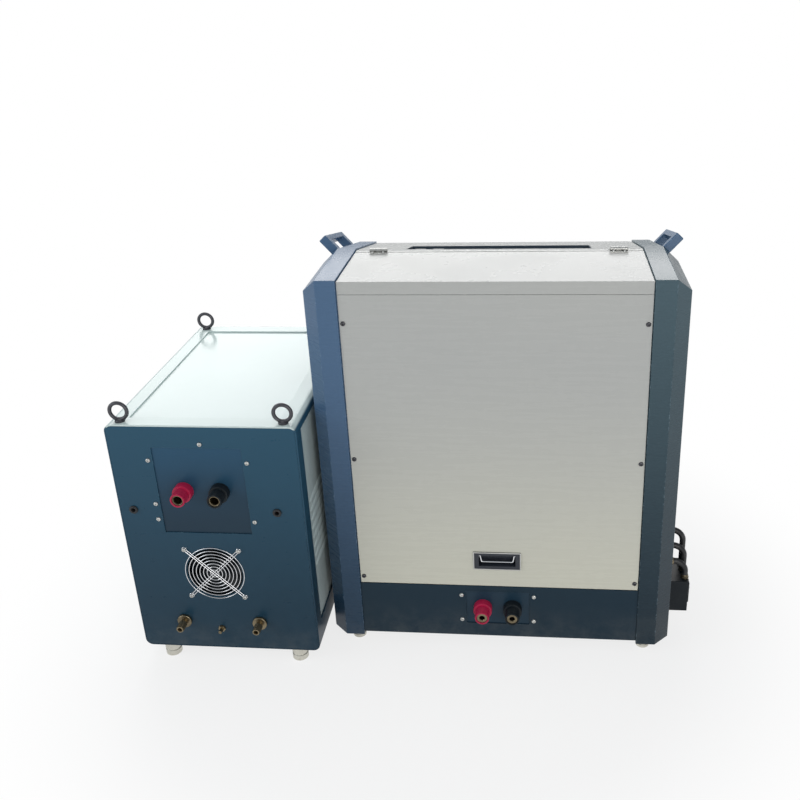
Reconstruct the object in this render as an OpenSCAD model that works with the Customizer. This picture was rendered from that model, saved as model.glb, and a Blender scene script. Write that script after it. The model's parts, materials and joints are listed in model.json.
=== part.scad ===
// Induction heating machine: a power cabinet and its heating station, side by side on one floor.
// Millimetres, +Z up. The origin is on the floor, under the middle of the whole set.
// The photographed face of each cabinet looks towards -Y.

/* [Power cabinet] */
// Width over the two side frames
main_w = 664; // [620:4:740]
// Depth of the cabinet
main_d = 410; // [396:2:460]
// Height of the flat top above the floor
main_h = 768; // [748:5:840]
// Share of the cabinet's depth taken by its flat top
ridge_share = 0.475; // [0.45:0.005:0.5]
// Drop of the sloped top from the ridge to the far edge
back_drop = 47; // [40:1:56]
// Height of the feet
main_foot_h = 22; // [16:1:30]
// Top of the base plinth above the floor
plinth_top = 146; // [140:1:156]

/* [Side frames] */
// Width of a side frame
frame_w = 64; // [60:1:72]
// Depth of the frame's rails
rail_d = 50; // [48:1:58]
// Width of the bevel on a frame's outer edge
bevel_w = 28; // [20:1:30]
// Depth of the bevel on a frame's outer edge
bevel_d = 27; // [20:1:29]
// Wall of the folded frame
frame_t = 2.5; // [2:0.5:3]

/* [Sheet parts] */
// Thickness of the cabinet panels
sheet_t = 2; // [1.5:0.5:2.5]
// How far the panels sit below the frames
recess = 3; // [2:0.5:4]
// Gap round the removable panels
panel_gap = 1.5; // [1:0.25:2]
// Height of the lips folded down from the access lid and the top cover
lid_lip = 26; // [20:1:32]

/* [Hinges, pull and handles] */
// Distance from the middle to each hinge
hinge_x = 222; // [180:2:230]
// Width of a hinge
hinge_w = 31; // [24:1:40]
// Height of the pull above the floor
pull_z = 206; // [196:1:240]
// Width of the pull's flange
pull_w = 91; // [80:1:100]
// Height of the pull's flange
pull_h = 39; // [36:1:44]
// Depth of the pull's dish
pull_depth = 13; // [12:1:16]
// Length of a carrying handle
handle_l = 145; // [130:1:160]
// Reach of a carrying handle from the frame
handle_reach = 36; // [32:1:42]
// Thickness of a carrying handle
handle_t = 17; // [14:1:20]

/* [Heating station] */
// Width of the station
station_w = 352; // [344:2:400]
// Depth of the station
station_d = 485; // [460:5:560]
// Height of the station above the floor
station_h = 520; // [510:5:580]
// Height of the station's feet
station_foot_h = 30; // [20:1:40]
// How far the station stands in front of the cabinet
station_ahead = 61; // [40:1:80]
// Gap between the two housings
cabinet_gap = 12; // [8:1:60]
// Sideways offset of the fittings on the station's front
front_shift = -12; // [-16:1:0]
// Radius of the station's long edges
edge_r = 14; // [10:1:18]

/* [Sockets and fan] */
// Distance from the middle of a plate to each output socket
socket_x = 34; // [30:1:38]
// Radius of the sockets' coloured flange
socket_flange_r = 18; // [16:0.5:20]
// Bore radius of the cabinet's sockets
main_bore_r = 5; // [4:0.5:7]
// Bore radius of the station's sockets
station_bore_r = 8; // [6:0.5:9]
// Side of a cooling fan
fan_size = 120; // [110:1:124]

/* [Hidden] */
$fn = 48;

// Overrun of every cut, clearance of fixed fits and of running fits
over = 1;
fit = 0.1;
run = 0.05;

// Sockets and output bars reach out beyond the housings
flange_l = 15;
nose_l = 21;
front_reach = flange_l + nose_l - sheet_t;
breaker_out = 46;
output_out = 60;
main_x = (station_w + cabinet_gap - breaker_out) / 2;
station_x = main_x - main_w / 2 - cabinet_gap - station_w / 2;
station_y = (front_reach - station_d - output_out) / 2;
main_y = station_y + station_ahead;

// Cabinet values worked out from the sizes above
half = main_w / 2 - frame_w;
frame_x = main_w / 2;
ridge_y = ridge_share * main_d;
far_z = main_h - back_drop;
slope_a = atan2(back_drop, main_d - ridge_y);
under_z = main_foot_h;
plinth_lift = 6;
plinth_z = under_z + plinth_lift;
floor_z = plinth_z + sheet_t;
skin_y = recess + sheet_t;
back_y = main_d - recess;
top_z = main_h - recess;
seam_z = main_h - lid_lip;
seam_gap = 0.5;
hinge_back = 15;
hinge_y = ridge_y - hinge_back;

// Height of the sloped top at depth y, w below its surface
function slope_z(y, w) = main_h - (y - ridge_y) * tan(slope_a) - w / cos(slope_a);

// Side outline of the cabinet, w inside its surface
function outline(w) = [
    [w, under_z + w],
    [w, main_h - w],
    [ridge_y - w * tan(slope_a / 2), main_h - w],
    [main_d - w, slope_z(main_d - w, w)],
    [main_d - w, under_z + w]
];

module main() translate([main_x, main_y, 0]) children();

module station() translate([station_x, station_y, 0]) children();

module both_sides() {
    children();
    mirror([1, 0, 0]) children();
}

// Turns what is drawn on the front round to the back
module to_back() translate([0, main_d, 0]) mirror([0, 1, 0]) children();

// Extrudes a side view (Y, Z) across the cabinet
module along_x(x0, x1) translate([x0, 0, 0]) rotate([90, 0, 90]) linear_extrude(x1 - x0) children();

// Extrudes a front view (X, Z) from y0 back to y1
module along_y(y0, y1) translate([0, y1, 0]) rotate([90, 0, 0]) linear_extrude(y1 - y0) children();

// A block from corner a to corner b
module block(a, b) translate(a) cube(b - a);

// A round bar between two points
module rod(p, q, r) {
    v = q - p;
    translate(p) rotate([0, acos(v.z / norm(v)), atan2(v.y, v.x)]) cylinder(h = norm(v), r = r);
}

// Round bars along Y and along X
module rod_y(x, z, y0, y1, r) translate([x, y1, z]) rotate([90, 0, 0]) cylinder(h = y1 - y0, r = r);

module rod_x(y, z, x0, x1, r) translate([x0, y, z]) rotate([0, 90, 0]) cylinder(h = x1 - x0, r = r);

// Side frame: a folded ring of open channel with a bevelled outer edge and a landing strip
landing_w = 16;

module bevel_cut(p, q, x1) {
    turn = atan2(q.y - p.y, q.x - p.x);
    translate([0, p.x, p.y]) rotate([turn, 0, 0]) along_y(-bevel_d, norm(q - p) + bevel_d)
        polygon([[x1 - 2 * bevel_w, bevel_d], [x1 + bevel_w, -2 * bevel_d], [x1 + bevel_w, bevel_d]]);
}

module frame_slab(w, x0, x1) {
    o = outline(w);
    difference() {
        along_x(x0, x1) polygon(o);
        for (i = [0:3]) bevel_cut(o[i], o[i + 1], x1 - i * w / 8);
    }
}

module side_frame() {
    difference() {
        frame_slab(0, half, frame_x);
        frame_slab(frame_t, half + frame_t, frame_x - frame_t);
        along_x(half - over, frame_x + over) polygon(outline(rail_d));
    }
    difference() {
        along_x(half - landing_w, half + frame_t / 2) polygon(outline(skin_y));
        along_x(half - landing_w - over, half + frame_t + over) polygon(outline(skin_y + sheet_t));
        block([half - landing_w - over, 0, 0], [half + frame_t + over, main_d, plinth_top + panel_gap]);
        panel_screw_places(seam_z) screw_hole();
        to_back() panel_screw_places(control_low) screw_hole();
        to_back() control_screw_places() screw_hole();
    }
}

module side_frame_right() main() color("steelblue") side_frame();

module side_frame_left() main() color("steelblue") mirror([1, 0, 0]) side_frame();

// Mains breaker on the right-hand side, with three short cables into the cabinet
breaker_y = 110;
breaker_d = 80;
breaker_z = 85;
breaker_h = 70;
breaker_step = 12;
breaker_nose = 4;
cable_r = 6;
cable_pitch = 24;
cable_rise = 20;
cable_bend_r = 24;
gland_r = 9;
gland_base = 6;
gland_l = 8;
lug_r = 8;
toggle_slot_h = 30;
toggle_slot_w = 12;
toggle_slot_d = 15;
toggle_r = 4;
toggle_pin_r = 1.6;
toggle_l = 17;
toggle_tilt = 25;
breaker_top = breaker_z + breaker_h / 2;
cable_low = breaker_top + gland_l + cable_bend_r + cable_r;
toggle_x = frame_x + breaker_out - toggle_slot_d + toggle_r + fit;
cover_x = frame_x - frame_t;
bend_x = cover_x + gland_base + gland_l;

module cable_places() for (i = [0:2])
    translate([0, breaker_y + (i - 1) * cable_pitch, cable_low + i * cable_rise]) children();

module breaker_body() main() color("dimgray") difference() {
    union() {
        block([frame_x, breaker_y - breaker_d / 2, breaker_z - breaker_h / 2],
            [frame_x + breaker_out - breaker_nose, breaker_y + breaker_d / 2, breaker_top]);
        block([frame_x, breaker_y - breaker_d / 2 + breaker_step, breaker_z - breaker_h / 2 + breaker_step],
            [frame_x + breaker_out, breaker_y + breaker_d / 2 - breaker_step, breaker_top - breaker_step]);
    }
    block([frame_x + breaker_out - toggle_slot_d, breaker_y - toggle_slot_w / 2,
        breaker_z - toggle_slot_h / 2],
        [frame_x + breaker_out + over, breaker_y + toggle_slot_w / 2, breaker_z + toggle_slot_h / 2]);
    translate([toggle_x, breaker_y - toggle_slot_w, breaker_z]) rotate([-90, 0, 0])
        cylinder(h = 2 * toggle_slot_w, r = toggle_pin_r + run);
}

module breaker_toggle() main() color("silver") translate([toggle_x, breaker_y, breaker_z]) {
    rod_y(0, 0, fit - toggle_slot_w / 2, toggle_slot_w / 2 - fit, toggle_r);
    rod_y(0, 0, -toggle_slot_w, toggle_slot_w, toggle_pin_r);
    rotate([0, toggle_tilt, 0]) block([0, toggle_pin_r - toggle_slot_w / 2, -toggle_r / 2],
        [toggle_l, toggle_slot_w / 2 - toggle_pin_r, toggle_r / 2]);
}

// Jumper cable: a round tube swept along its route, in the plane of its bend
cable_sides = 10;
cable_bend_steps = 6;

function cable_route(top) = concat(
    [[contactor_x, top], [half, top], [cover_x, top]],
    [for (i = [0:cable_bend_steps]) let (a = 90 - i * 90 / cable_bend_steps)
        [bend_x + cable_bend_r * cos(a), top - cable_bend_r + cable_bend_r * sin(a)]],
    [[bend_x + cable_bend_r, breaker_top]]
);

function cable_dirs(p) = [for (i = [0:len(p) - 1])
    let (d = p[min(i + 1, len(p) - 1)] - p[max(i - 1, 0)]) d / norm(d)];

module cable(top, y) {
    p = cable_route(top);
    d = cable_dirs(p);
    n = len(p);
    m = cable_sides;
    polyhedron(
        points = [for (i = [0:n - 1], k = [0:m - 1]) let (a = k * 360 / m)
            [p[i].x - d[i].y * cable_r * cos(a), y + cable_r * sin(a), p[i].y + d[i].x * cable_r * cos(a)]],
        faces = concat(
            [[for (k = [0:m - 1]) k]],
            [for (i = [0:n - 2], k = [0:m - 1]) [i * m + k, (i + 1) * m + k, (i + 1) * m + (k + 1) % m]],
            [for (i = [0:n - 2], k = [0:m - 1]) [i * m + k, (i + 1) * m + (k + 1) % m,
                i * m + (k + 1) % m]],
            [[for (k = [m - 1:-1:0]) (n - 1) * m + k]]
        )
    );
}

module jumper_cables() main() color("dimgray") for (i = [0:2])
    cable(cable_low + i * cable_rise, breaker_y + (i - 1) * cable_pitch);

module cable_glands() main() color("goldenrod") {
    cable_places() difference() {
        union() {
            rod_x(0, 0, cover_x, bend_x, gland_r);
            rod_x(0, 0, cover_x - sheet_t, cover_x, cable_r + frame_t);
            rod_x(0, 0, cover_x - sheet_t - frame_t, cover_x - sheet_t, gland_r);
        }
        rod_x(0, 0, 0, frame_x + breaker_out, cable_r + fit);
    }
    for (i = [-1:1]) translate([bend_x + cable_bend_r, breaker_y + i * cable_pitch, breaker_top])
        difference() {
        cylinder(h = gland_l, r = lug_r);
        translate([0, 0, -over]) cylinder(h = gland_l + 2 * over, r = cable_r + fit);
    }
}

// Side covers: flat plates behind the windows of the frames, with rows of cooling slots
cover_lap = 14;
slot_w = 6;
slot_pitch = 18;
slot_count = 12;
slot_inset = 60;

module side_cover() difference() {
    along_x(cover_x - sheet_t, cover_x) polygon(outline(rail_d - cover_lap));
    for (i = [0:slot_count - 1]) translate([0, 0, main_h - rail_d - slot_inset - i * slot_pitch])
        block([cover_x - sheet_t - over, rail_d + slot_inset, 0],
            [frame_x, main_d - rail_d - slot_inset, slot_w]);
}

module side_covers() main() color("slategray") {
    mirror([1, 0, 0]) side_cover();
    difference() {
        side_cover();
        cable_places() rod_x(0, 0, cover_x - sheet_t - over, frame_x, cable_r + frame_t + fit);
    }
}

// Screws with slotted pan heads, each drawn with the back of its head at y = 0
screw_r = 2;
screw_head_r = 4.4;
screw_head_h = 2.4;
screw_bite = 6;

module pan_screw(grip) {
    difference() {
        rotate([90, 0, 0]) cylinder(h = screw_head_h, r1 = screw_head_r, r2 = screw_head_r * 0.7);
        block([-screw_head_r, -screw_head_h - over, -screw_head_h / 6],
            [screw_head_r, -screw_head_h * 0.6, screw_head_h / 6]);
    }
    rod_y(0, 0, -screw_head_h / 4, grip, screw_r);
}

module screw_hole() rod_y(0, 0, -over, skin_y + plate_t + 2 * over, screw_r + fit);

// Insulating plates behind a window in each front, and behind the station's output bars
plate_t = 8;
plate_lap = 20;
screw_margin = 8.5;
main_plate_w = 123;
main_plate_h = 75;
main_plate_z = 95.5;
main_screw_share = 0.77;
main_socket_share = 0.85;
station_plate_w = 166;
station_plate_h = 179;
station_plate_share = 0.7415;
station_plate_z = station_plate_share * station_h;
station_screw_shares = [[-1, 0.71], [1, 0.68], [-1, -0.31], [-1, -0.68], [1, -0.7], [0.1, 1.09]];
output_plate_w = 190;
output_plate_h = 90;

module main_plate_screws() for (x = [-1, 1], z = [-1, 1])
    translate([x * (main_plate_w / 2 + screw_margin), recess,
        main_plate_z + z * main_screw_share * main_plate_h / 2])
        children();

module station_plate_screws() for (s = station_screw_shares)
    translate([front_shift + s.x * (station_plate_w / 2 + screw_margin), 0,
        station_plate_z + s.y * station_plate_h / 2]) children();

module main_sockets() for (i = [-1, 1])
    translate([i * main_socket_share * socket_x, skin_y, main_plate_z]) children();

module station_sockets() for (i = [-1, 1])
    translate([front_shift + i * socket_x, sheet_t, station_plate_z]) children();

module plate_sheet(w, h)
    block([-w / 2 - plate_lap, 0, -h / 2 - plate_lap], [w / 2 + plate_lap, plate_t, h / 2 + plate_lap]);

module socket_plates() color("dimgray") {
    main() difference() {
        translate([0, skin_y, main_plate_z]) plate_sheet(main_plate_w, main_plate_h);
        main_sockets() rod_y(0, 0, -over, plate_t + over, insert_r + fit);
        main_plate_screws() screw_hole();
    }
    station() difference() {
        translate([front_shift, sheet_t, station_plate_z]) plate_sheet(station_plate_w, station_plate_h);
        station_sockets() rod_y(0, 0, -over, plate_t + over, insert_r + fit);
        station_plate_screws() screw_hole();
    }
    station() difference() {
        translate([0, station_d - sheet_t - plate_t, output_z]) plate_sheet(output_plate_w, output_plate_h);
        both_sides() output_slot(plate_t + sheet_t);
        output_screws() screw_hole();
    }
}

// Output sockets: coloured insulators round brass inserts
nose_r = 14;
insert_r = 10.5;
insert_tail = 22;
insert_inset = 2;
nut_l = 7;
nut_r = 15;

module socket_body() difference() {
    union() {
        rod_y(0, 0, -flange_l, 0, socket_flange_r);
        rod_y(0, 0, -flange_l - nose_l, -flange_l, nose_r);
    }
    rod_y(0, 0, -flange_l - nose_l - over, over, insert_r + fit);
}

module socket_insert(bore_r) difference() {
    union() {
        rod_y(0, 0, insert_inset - flange_l - nose_l, plate_t + insert_tail, insert_r);
        rod_y(0, 0, plate_t, plate_t + nut_l, nut_r);
    }
    rod_y(0, 0, -flange_l - nose_l, plate_t, bore_r);
}

module red_sockets() color("crimson") {
    main() translate([-main_socket_share * socket_x, skin_y, main_plate_z]) socket_body();
    station() translate([front_shift - socket_x, sheet_t, station_plate_z]) socket_body();
}

module black_sockets() color("dimgray") {
    main() translate([main_socket_share * socket_x, skin_y, main_plate_z]) socket_body();
    station() translate([front_shift + socket_x, sheet_t, station_plate_z]) socket_body();
}

module socket_inserts() color("goldenrod") {
    main() main_sockets() socket_insert(main_bore_r);
    station() station_sockets() socket_insert(station_bore_r);
}

// Base pan: a folded sheet, its aprons closing the plinth between the side frames
module base_pan() main() color("darkslategray") difference() {
    union() {
        block([-half, recess, plinth_z], [half, back_y, floor_z]);
        block([-half, recess, plinth_z], [half, skin_y, plinth_top]);
        block([-half, back_y - sheet_t, plinth_z], [half, back_y, plinth_top]);
    }
    block([-main_plate_w / 2, 0, main_plate_z - main_plate_h / 2],
        [main_plate_w / 2, skin_y + over, main_plate_z + main_plate_h / 2]);
    main_plate_screws() screw_hole();
}

// Feet of the cabinet: turned metal discs under the corners of the side frames
main_foot_r = 13;
main_foot_y = 28;
main_foot_in = 16;
main_foot_x = half + main_foot_in;

module main_feet() main() color("gainsboro")
    for (x = [-main_foot_x, main_foot_x], y = [main_foot_y, main_d - main_foot_y])
        translate([x, y, 0]) cylinder(h = main_foot_h, r = main_foot_r);

// Service panel below the seam, held by six screws on the landing strips
panel_half = half - panel_gap;
panel_low = plinth_top + panel_gap;
panel_screw_x = half - landing_w / 2;
panel_screw_shares = [0.911, 0.463, 0.0273];
dish_wall = 1.5;
pull_rim = 9;
dish_w = pull_w - 2 * pull_rim - 2 * dish_wall;
dish_h = pull_h - 2 * pull_rim + 2 * dish_wall;

module panel_screw_places(top) for (x = [-panel_screw_x, panel_screw_x], s = panel_screw_shares)
    translate([x, recess, plinth_top + s * (top - plinth_top)]) children();

module upright_panel(top) difference() {
    block([-panel_half, recess, panel_low], [panel_half, skin_y, top - seam_gap]);
    panel_screw_places(top) screw_hole();
}

module service_panel() main() color("gainsboro") difference() {
    upright_panel(seam_z);
    block([-dish_w / 2 - dish_wall - fit, 0, pull_z - dish_h / 2 - dish_wall - fit],
        [dish_w / 2 + dish_wall + fit, skin_y + over, pull_z + dish_h / 2 + dish_wall + fit]);
}

// Access lid: a bent sheet over the flat top, its front lip meeting the service panel at the seam
lid_y = hinge_y - panel_gap;
lid_inner = skin_y - fit;

module access_lid() main() color("gainsboro") along_x(-panel_half, panel_half) polygon([
    [recess, seam_z],
    [recess, top_z],
    [lid_y, top_z],
    [lid_y, main_h - lid_inner],
    [lid_inner, main_h - lid_inner],
    [lid_inner, seam_z]
]);

// Hinges: knuckles on a pin along the far edge of the lid
knuckle_r = 4;
hinge_pin_r = 1.8;
knuckle_gap = 0.3;
leaf_t = 1.5;
leaf_l = 13;
hinge_z = top_z + knuckle_r;
knuckle_l = (hinge_w - 2 * knuckle_gap) / 3;

module hinge_places() for (x = [-hinge_x, hinge_x]) translate([x, hinge_y, hinge_z]) children();

module hinge_leaves() main() color("silver") hinge_places() difference() {
    union() for (x = [-hinge_w / 2, hinge_w / 2 - knuckle_l]) {
        rod_x(0, 0, x, x + knuckle_l, knuckle_r * 0.92);
        block([x, 0, -knuckle_r], [x + knuckle_l, leaf_l, leaf_t - knuckle_r]);
        block([-hinge_w / 2, knuckle_r + panel_gap, -knuckle_r], [hinge_w / 2, leaf_l, leaf_t - knuckle_r]);
    }
    rod_x(0, 0, -hinge_w, hinge_w, hinge_pin_r + fit);
}

module lid_knuckles() main() color("silver") hinge_places() difference() {
    union() {
        rod_x(0, 0, -knuckle_l / 2, knuckle_l / 2, knuckle_r * 0.92);
        block([-knuckle_l * 0.48, -leaf_l, -knuckle_r], [knuckle_l * 0.48, -hinge_pin_r, leaf_t - knuckle_r]);
        block([-hinge_w / 2, -leaf_l, -knuckle_r], [hinge_w / 2, -knuckle_r - panel_gap, leaf_t - knuckle_r]);
    }
    rod_x(0, 0, -hinge_w, hinge_w, hinge_pin_r + run);
}

module hinge_pins() main() color("dimgray") hinge_places() {
    rod_x(0, 0, -hinge_w / 2, hinge_w / 2, hinge_pin_r);
    rod_x(0, 0, -hinge_w / 2 - leaf_t, -hinge_w / 2, hinge_pin_r * 1.6);
    rod_x(0, 0, hinge_w / 2, hinge_w / 2 + leaf_t, hinge_pin_r * 1.6);
}

// Flush pull: a flanged dish in the service panel and a bright bail that swings out of it
bail_r = 1.8;
bail_side = dish_w / 2 - 2 * bail_r;
bail_bar = bail_side * 0.76;
bail_y = recess + pull_depth / 2;
bail_z = pull_z + dish_h / 2 - 2 * bail_r;
bail_drop = dish_h - 5 * bail_r;
bail_lean = bail_r / 4;

module pull_dish() main() color("darkslategray") difference() {
    union() {
        block([-pull_w / 2, recess - dish_wall, pull_z - pull_h / 2],
            [pull_w / 2, recess, pull_z + pull_h / 2]);
        block([-dish_w / 2 - dish_wall, recess - dish_wall, pull_z - dish_h / 2 - dish_wall],
            [dish_w / 2 + dish_wall, recess + pull_depth + dish_wall, pull_z + dish_h / 2 + dish_wall]);
    }
    block([-dish_w / 2, 0, pull_z - dish_h / 2], [dish_w / 2, recess + pull_depth, pull_z + dish_h / 2]);
    rod_x(bail_y, bail_z, -pull_w / 2, pull_w / 2, bail_r + run);
}

module pull_bail() main() color("white") translate([0, bail_y, bail_z]) {
    both_sides() {
        rod_x(0, 0, bail_side, dish_w / 2 + dish_wall, bail_r);
        rod([bail_side, 0, 0], [bail_bar, -bail_lean, -bail_drop], bail_r);
        translate([bail_side, 0, 0]) sphere(r = bail_r * 1.06);
        translate([bail_bar, -bail_lean, -bail_drop]) sphere(r = bail_r * 1.06);
    }
    rod([-bail_bar, -bail_lean, -bail_drop], [bail_bar, -bail_lean, -bail_drop], bail_r);
}

// Top cover: a bent sheet from the hinges over the ridge to the far edge, with a long shallow tray sunk in it
tray_w = 350;
tray_margin = 12;
tray_end = 113;
tray_depth = 16;
tray_slant = 14;
tray_y = ridge_y + tray_margin;
tray_d = main_d - tray_y - tray_end;
cover_y = hinge_y + panel_gap;
far_y = main_d - recess;
far_skin = main_d - skin_y;

// Moves to the sloped top's surface at depth y, with its Y axis down the slope
module on_slope(y) translate([0, y, slope_z(y, recess)]) rotate([-slope_a, 0, 0]) children();

module tray_block(w, h) {
    top = w > 0 ? over : 0;
    along_y(w, tray_d - w) polygon([
        [w - tray_w / 2, top],
        [tray_w / 2 - w, top],
        [tray_w / 2 - w, -tray_depth / 3],
        [tray_w / 2 - tray_slant - w, h - tray_depth],
        [tray_slant + w - tray_w / 2, h - tray_depth],
        [w - tray_w / 2, -tray_depth / 3]
    ]);
}

module top_cover() main() color("gainsboro") difference() {
    along_x(-panel_half, panel_half) polygon([
        [cover_y, top_z],
        [ridge_y - recess * tan(slope_a / 2), top_z],
        [far_y, slope_z(far_y, recess)],
        [far_y, far_z - lid_lip],
        [far_skin, far_z - lid_lip],
        [far_skin, slope_z(far_skin, skin_y)],
        [ridge_y - skin_y * tan(slope_a / 2), main_h - skin_y],
        [cover_y, main_h - skin_y]
    ]);
    on_slope(tray_y) block([-tray_w / 2 - fit, -fit, -2 * sheet_t], [tray_w / 2 + fit, tray_d + fit, over]);
}

module top_tray() main() color("slategray") on_slope(tray_y) difference() {
    tray_block(0, 0);
    tray_block(dish_wall, dish_wall);
}

// Carrying handles: flat loops standing square on the bevel beside the sloped top
bevel_a = atan2(bevel_d, bevel_w);
handle_leg = 20;
handle_grip = 12;
handle_set = 1;
handle_margin = 10;
handle_y = ridge_y + handle_margin + handle_l / 2;

module carry_handle() translate([frame_x - bevel_w, handle_y, slope_z(handle_y, 0)])
    rotate([-slope_a, 0, 0]) rotate([0, bevel_a, 0]) translate([handle_set, 0, 0]) difference() {
        block([0, -handle_l / 2, 0], [handle_t, handle_l / 2, handle_reach]);
        block([-over, handle_leg - handle_l / 2, -over],
            [handle_t + over, handle_l / 2 - handle_leg, handle_reach - handle_grip]);
    }

module carry_handles() main() color("steelblue") both_sides() carry_handle();

// Control panel at the top of the back: meters, push-buttons, knob and switch in round bezels
bezel_r = 15;
bezel_h = 4;
barrel_r = 11;
barrel_l = 24;
bezel_nut_h = 4;
stem_r = 8;
stem_l = 14;
button_up = 3;
knob_r = 16;
knob_h = 14;
stop_r = 18;
stop_h = 9;
stop_up = 5;
switch_bar = 7;
control_h = 120;
control_edge = 14;
control_top = far_z - lid_lip;
control_low = control_top - control_h;
meter_w = 96;
meter_h = 48;
meter_rim = 3;
meter_depth = 60;
meter_places = [150, 38];
start_x = -60;
stop_x = -105;
knob_x = -150;
mode_x = -195;
emergency_x = -235;
control_places = [start_x, stop_x, knob_x, mode_x, emergency_x];

// Moves to the control panel's face, x across it, with Y down and Z out of it
module on_controls(x) translate([x, main_d - recess, control_low + control_h / 2]) rotate([-90, 0, 0]) children();

module control_screw_places()
    for (x = [-panel_screw_x, panel_screw_x], z = [control_low + control_edge, control_top - control_edge])
        translate([x, recess, z]) children();

module control_panel() main() color("gainsboro") difference() {
    to_back() block([-panel_half, recess, control_low], [panel_half, skin_y, control_top - seam_gap]);
    to_back() control_screw_places() screw_hole();
    for (x = control_places) on_controls(x) translate([0, 0, -barrel_l])
        cylinder(h = 2 * barrel_l, r = barrel_r + fit);
    for (x = meter_places) on_controls(x)
        block([-meter_w / 2 + meter_rim - fit, -meter_h / 2 + meter_rim - fit, -barrel_l],
            [meter_w / 2 - meter_rim + fit, meter_h / 2 - meter_rim + fit, barrel_l]);
}

module panel_meters() main() color("dimgray") for (x = meter_places) on_controls(x) difference() {
    union() {
        block([-meter_w / 2, -meter_h / 2, 0], [meter_w / 2, meter_h / 2, bezel_h]);
        block([meter_rim - meter_w / 2, meter_rim - meter_h / 2, -meter_depth],
            [meter_w / 2 - meter_rim, meter_h / 2 - meter_rim, 0]);
    }
    block([2 * meter_rim - meter_w / 2, 2 * meter_rim - meter_h / 2, bezel_h / 2],
        [meter_w / 2 - 2 * meter_rim, meter_h / 2 - 2 * meter_rim, bezel_h + over]);
}

module control_bezels() main() color("silver") for (x = control_places) on_controls(x) difference() {
    union() {
        cylinder(h = bezel_h, r = bezel_r);
        translate([0, 0, -barrel_l]) cylinder(h = barrel_l, r = barrel_r);
        translate([0, 0, -sheet_t - bezel_nut_h]) cylinder(h = bezel_nut_h, r = barrel_r + bezel_nut_h);
    }
    translate([0, 0, -barrel_l - over]) cylinder(h = barrel_l + bezel_h + 2 * over, r = stem_r + run);
}

module stem(up) translate([0, 0, -stem_l]) cylinder(h = stem_l + up, r = stem_r);

module start_button() main() color("green") on_controls(start_x) stem(bezel_h + button_up);

module stop_button() main() color("crimson") on_controls(stop_x) stem(bezel_h + button_up);

module emergency_stop() main() color("red") on_controls(emergency_x) {
    stem(bezel_h + stop_up);
    translate([0, 0, bezel_h + stop_up]) cylinder(h = stop_h, r = stop_r);
}

module power_knob() main() color("dimgray") on_controls(knob_x) {
    stem(bezel_h + run);
    translate([0, 0, bezel_h + run]) difference() {
        cylinder(h = knob_h, r1 = knob_r, r2 = knob_r * 0.85);
        block([-stem_r / 8, -knob_r, knob_h * 0.9], [stem_r / 8, -knob_r / 3, knob_h + over]);
    }
}

module mode_switch() main() color("dimgray") on_controls(mode_x) {
    stem(bezel_h + run);
    translate([0, 0, bezel_h + run]) cylinder(h = knob_h / 3, r = knob_r * 0.8);
    block([-switch_bar / 2, -knob_r * 0.8, bezel_h + knob_h / 4],
        [switch_bar / 2, knob_r * 0.8, bezel_h + knob_h]);
}

// Back panel with the cooling fan's opening and rows of slots
fan_ear = 15;
fan_pitch = fan_size - fan_ear;
fan_clear = 3;
fan_bore = fan_size / 2 - fan_clear;
fan_t = 38;
fan_share = 0.6125;
fan_z = fan_share * main_h;
vent_w = 180;
vent_rows = 8;
vent_gap = 46;
vent_z = fan_z - fan_size / 2 - vent_gap - vent_rows * slot_pitch;

module fan_opening() {
    rod_y(0, 0, -fan_t, fan_t, fan_bore - fan_clear);
    for (x = [-1, 1], z = [-1, 1])
        rod_y(x * fan_pitch / 2, z * fan_pitch / 2, -fan_t, fan_t, screw_r + fit);
}

module fan_places() {
    main() to_back() translate([0, recess, fan_z]) children();
    station() translate([front_shift, 0, station_fan_z]) children();
}

module fan_screws() for (x = [-1, 1], z = [-1, 1])
    translate([x * fan_pitch / 2, -guard_t, z * fan_pitch / 2]) pan_screw(guard_t + sheet_t + screw_bite);

module back_panel() main() color("gainsboro") to_back() difference() {
    upright_panel(control_low);
    translate([0, recess, fan_z]) fan_opening();
    for (i = [0:vent_rows - 1])
        block([-vent_w, 0, vent_z + i * slot_pitch],
            [vent_w, skin_y + over, vent_z + i * slot_pitch + slot_w]);
}

// Cooling fans: a square housing with its motor on struts, a rotor and a ring guard
guard_t = 2;
guard_rings = 7;
guard_r = fan_size / 2 - guard_t;
hub_r = 20;
motor_r = 18;
motor_l = 8;
motor_gap = 1;
shaft_r = 4;
strut_w = 7;
blades = 7;
blade_t = 2.5;
blade_tilt = 40;
blade_tip_gap = 2;
eyelet_r = 5;

module fan_guards() color("white") fan_places() difference() {
    union() {
        for (i = [1:guard_rings]) difference() {
            rod_y(0, 0, -guard_t, 0, guard_r * i / guard_rings);
            rod_y(0, 0, -guard_t - over, over, guard_r * i / guard_rings - guard_t);
        }
        for (a = [0:90:270]) rotate([0, a + 45, 0]) {
            block([0, -guard_t, -guard_t], [fan_pitch * sqrt(0.5), 0, guard_t]);
            rod_y(fan_pitch * sqrt(0.5), 0, -guard_t, 0, eyelet_r);
        }
    }
    for (x = [-1, 1], z = [-1, 1])
        rod_y(x * fan_pitch / 2, z * fan_pitch / 2, -guard_t - over, over, screw_r + fit);
}

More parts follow.
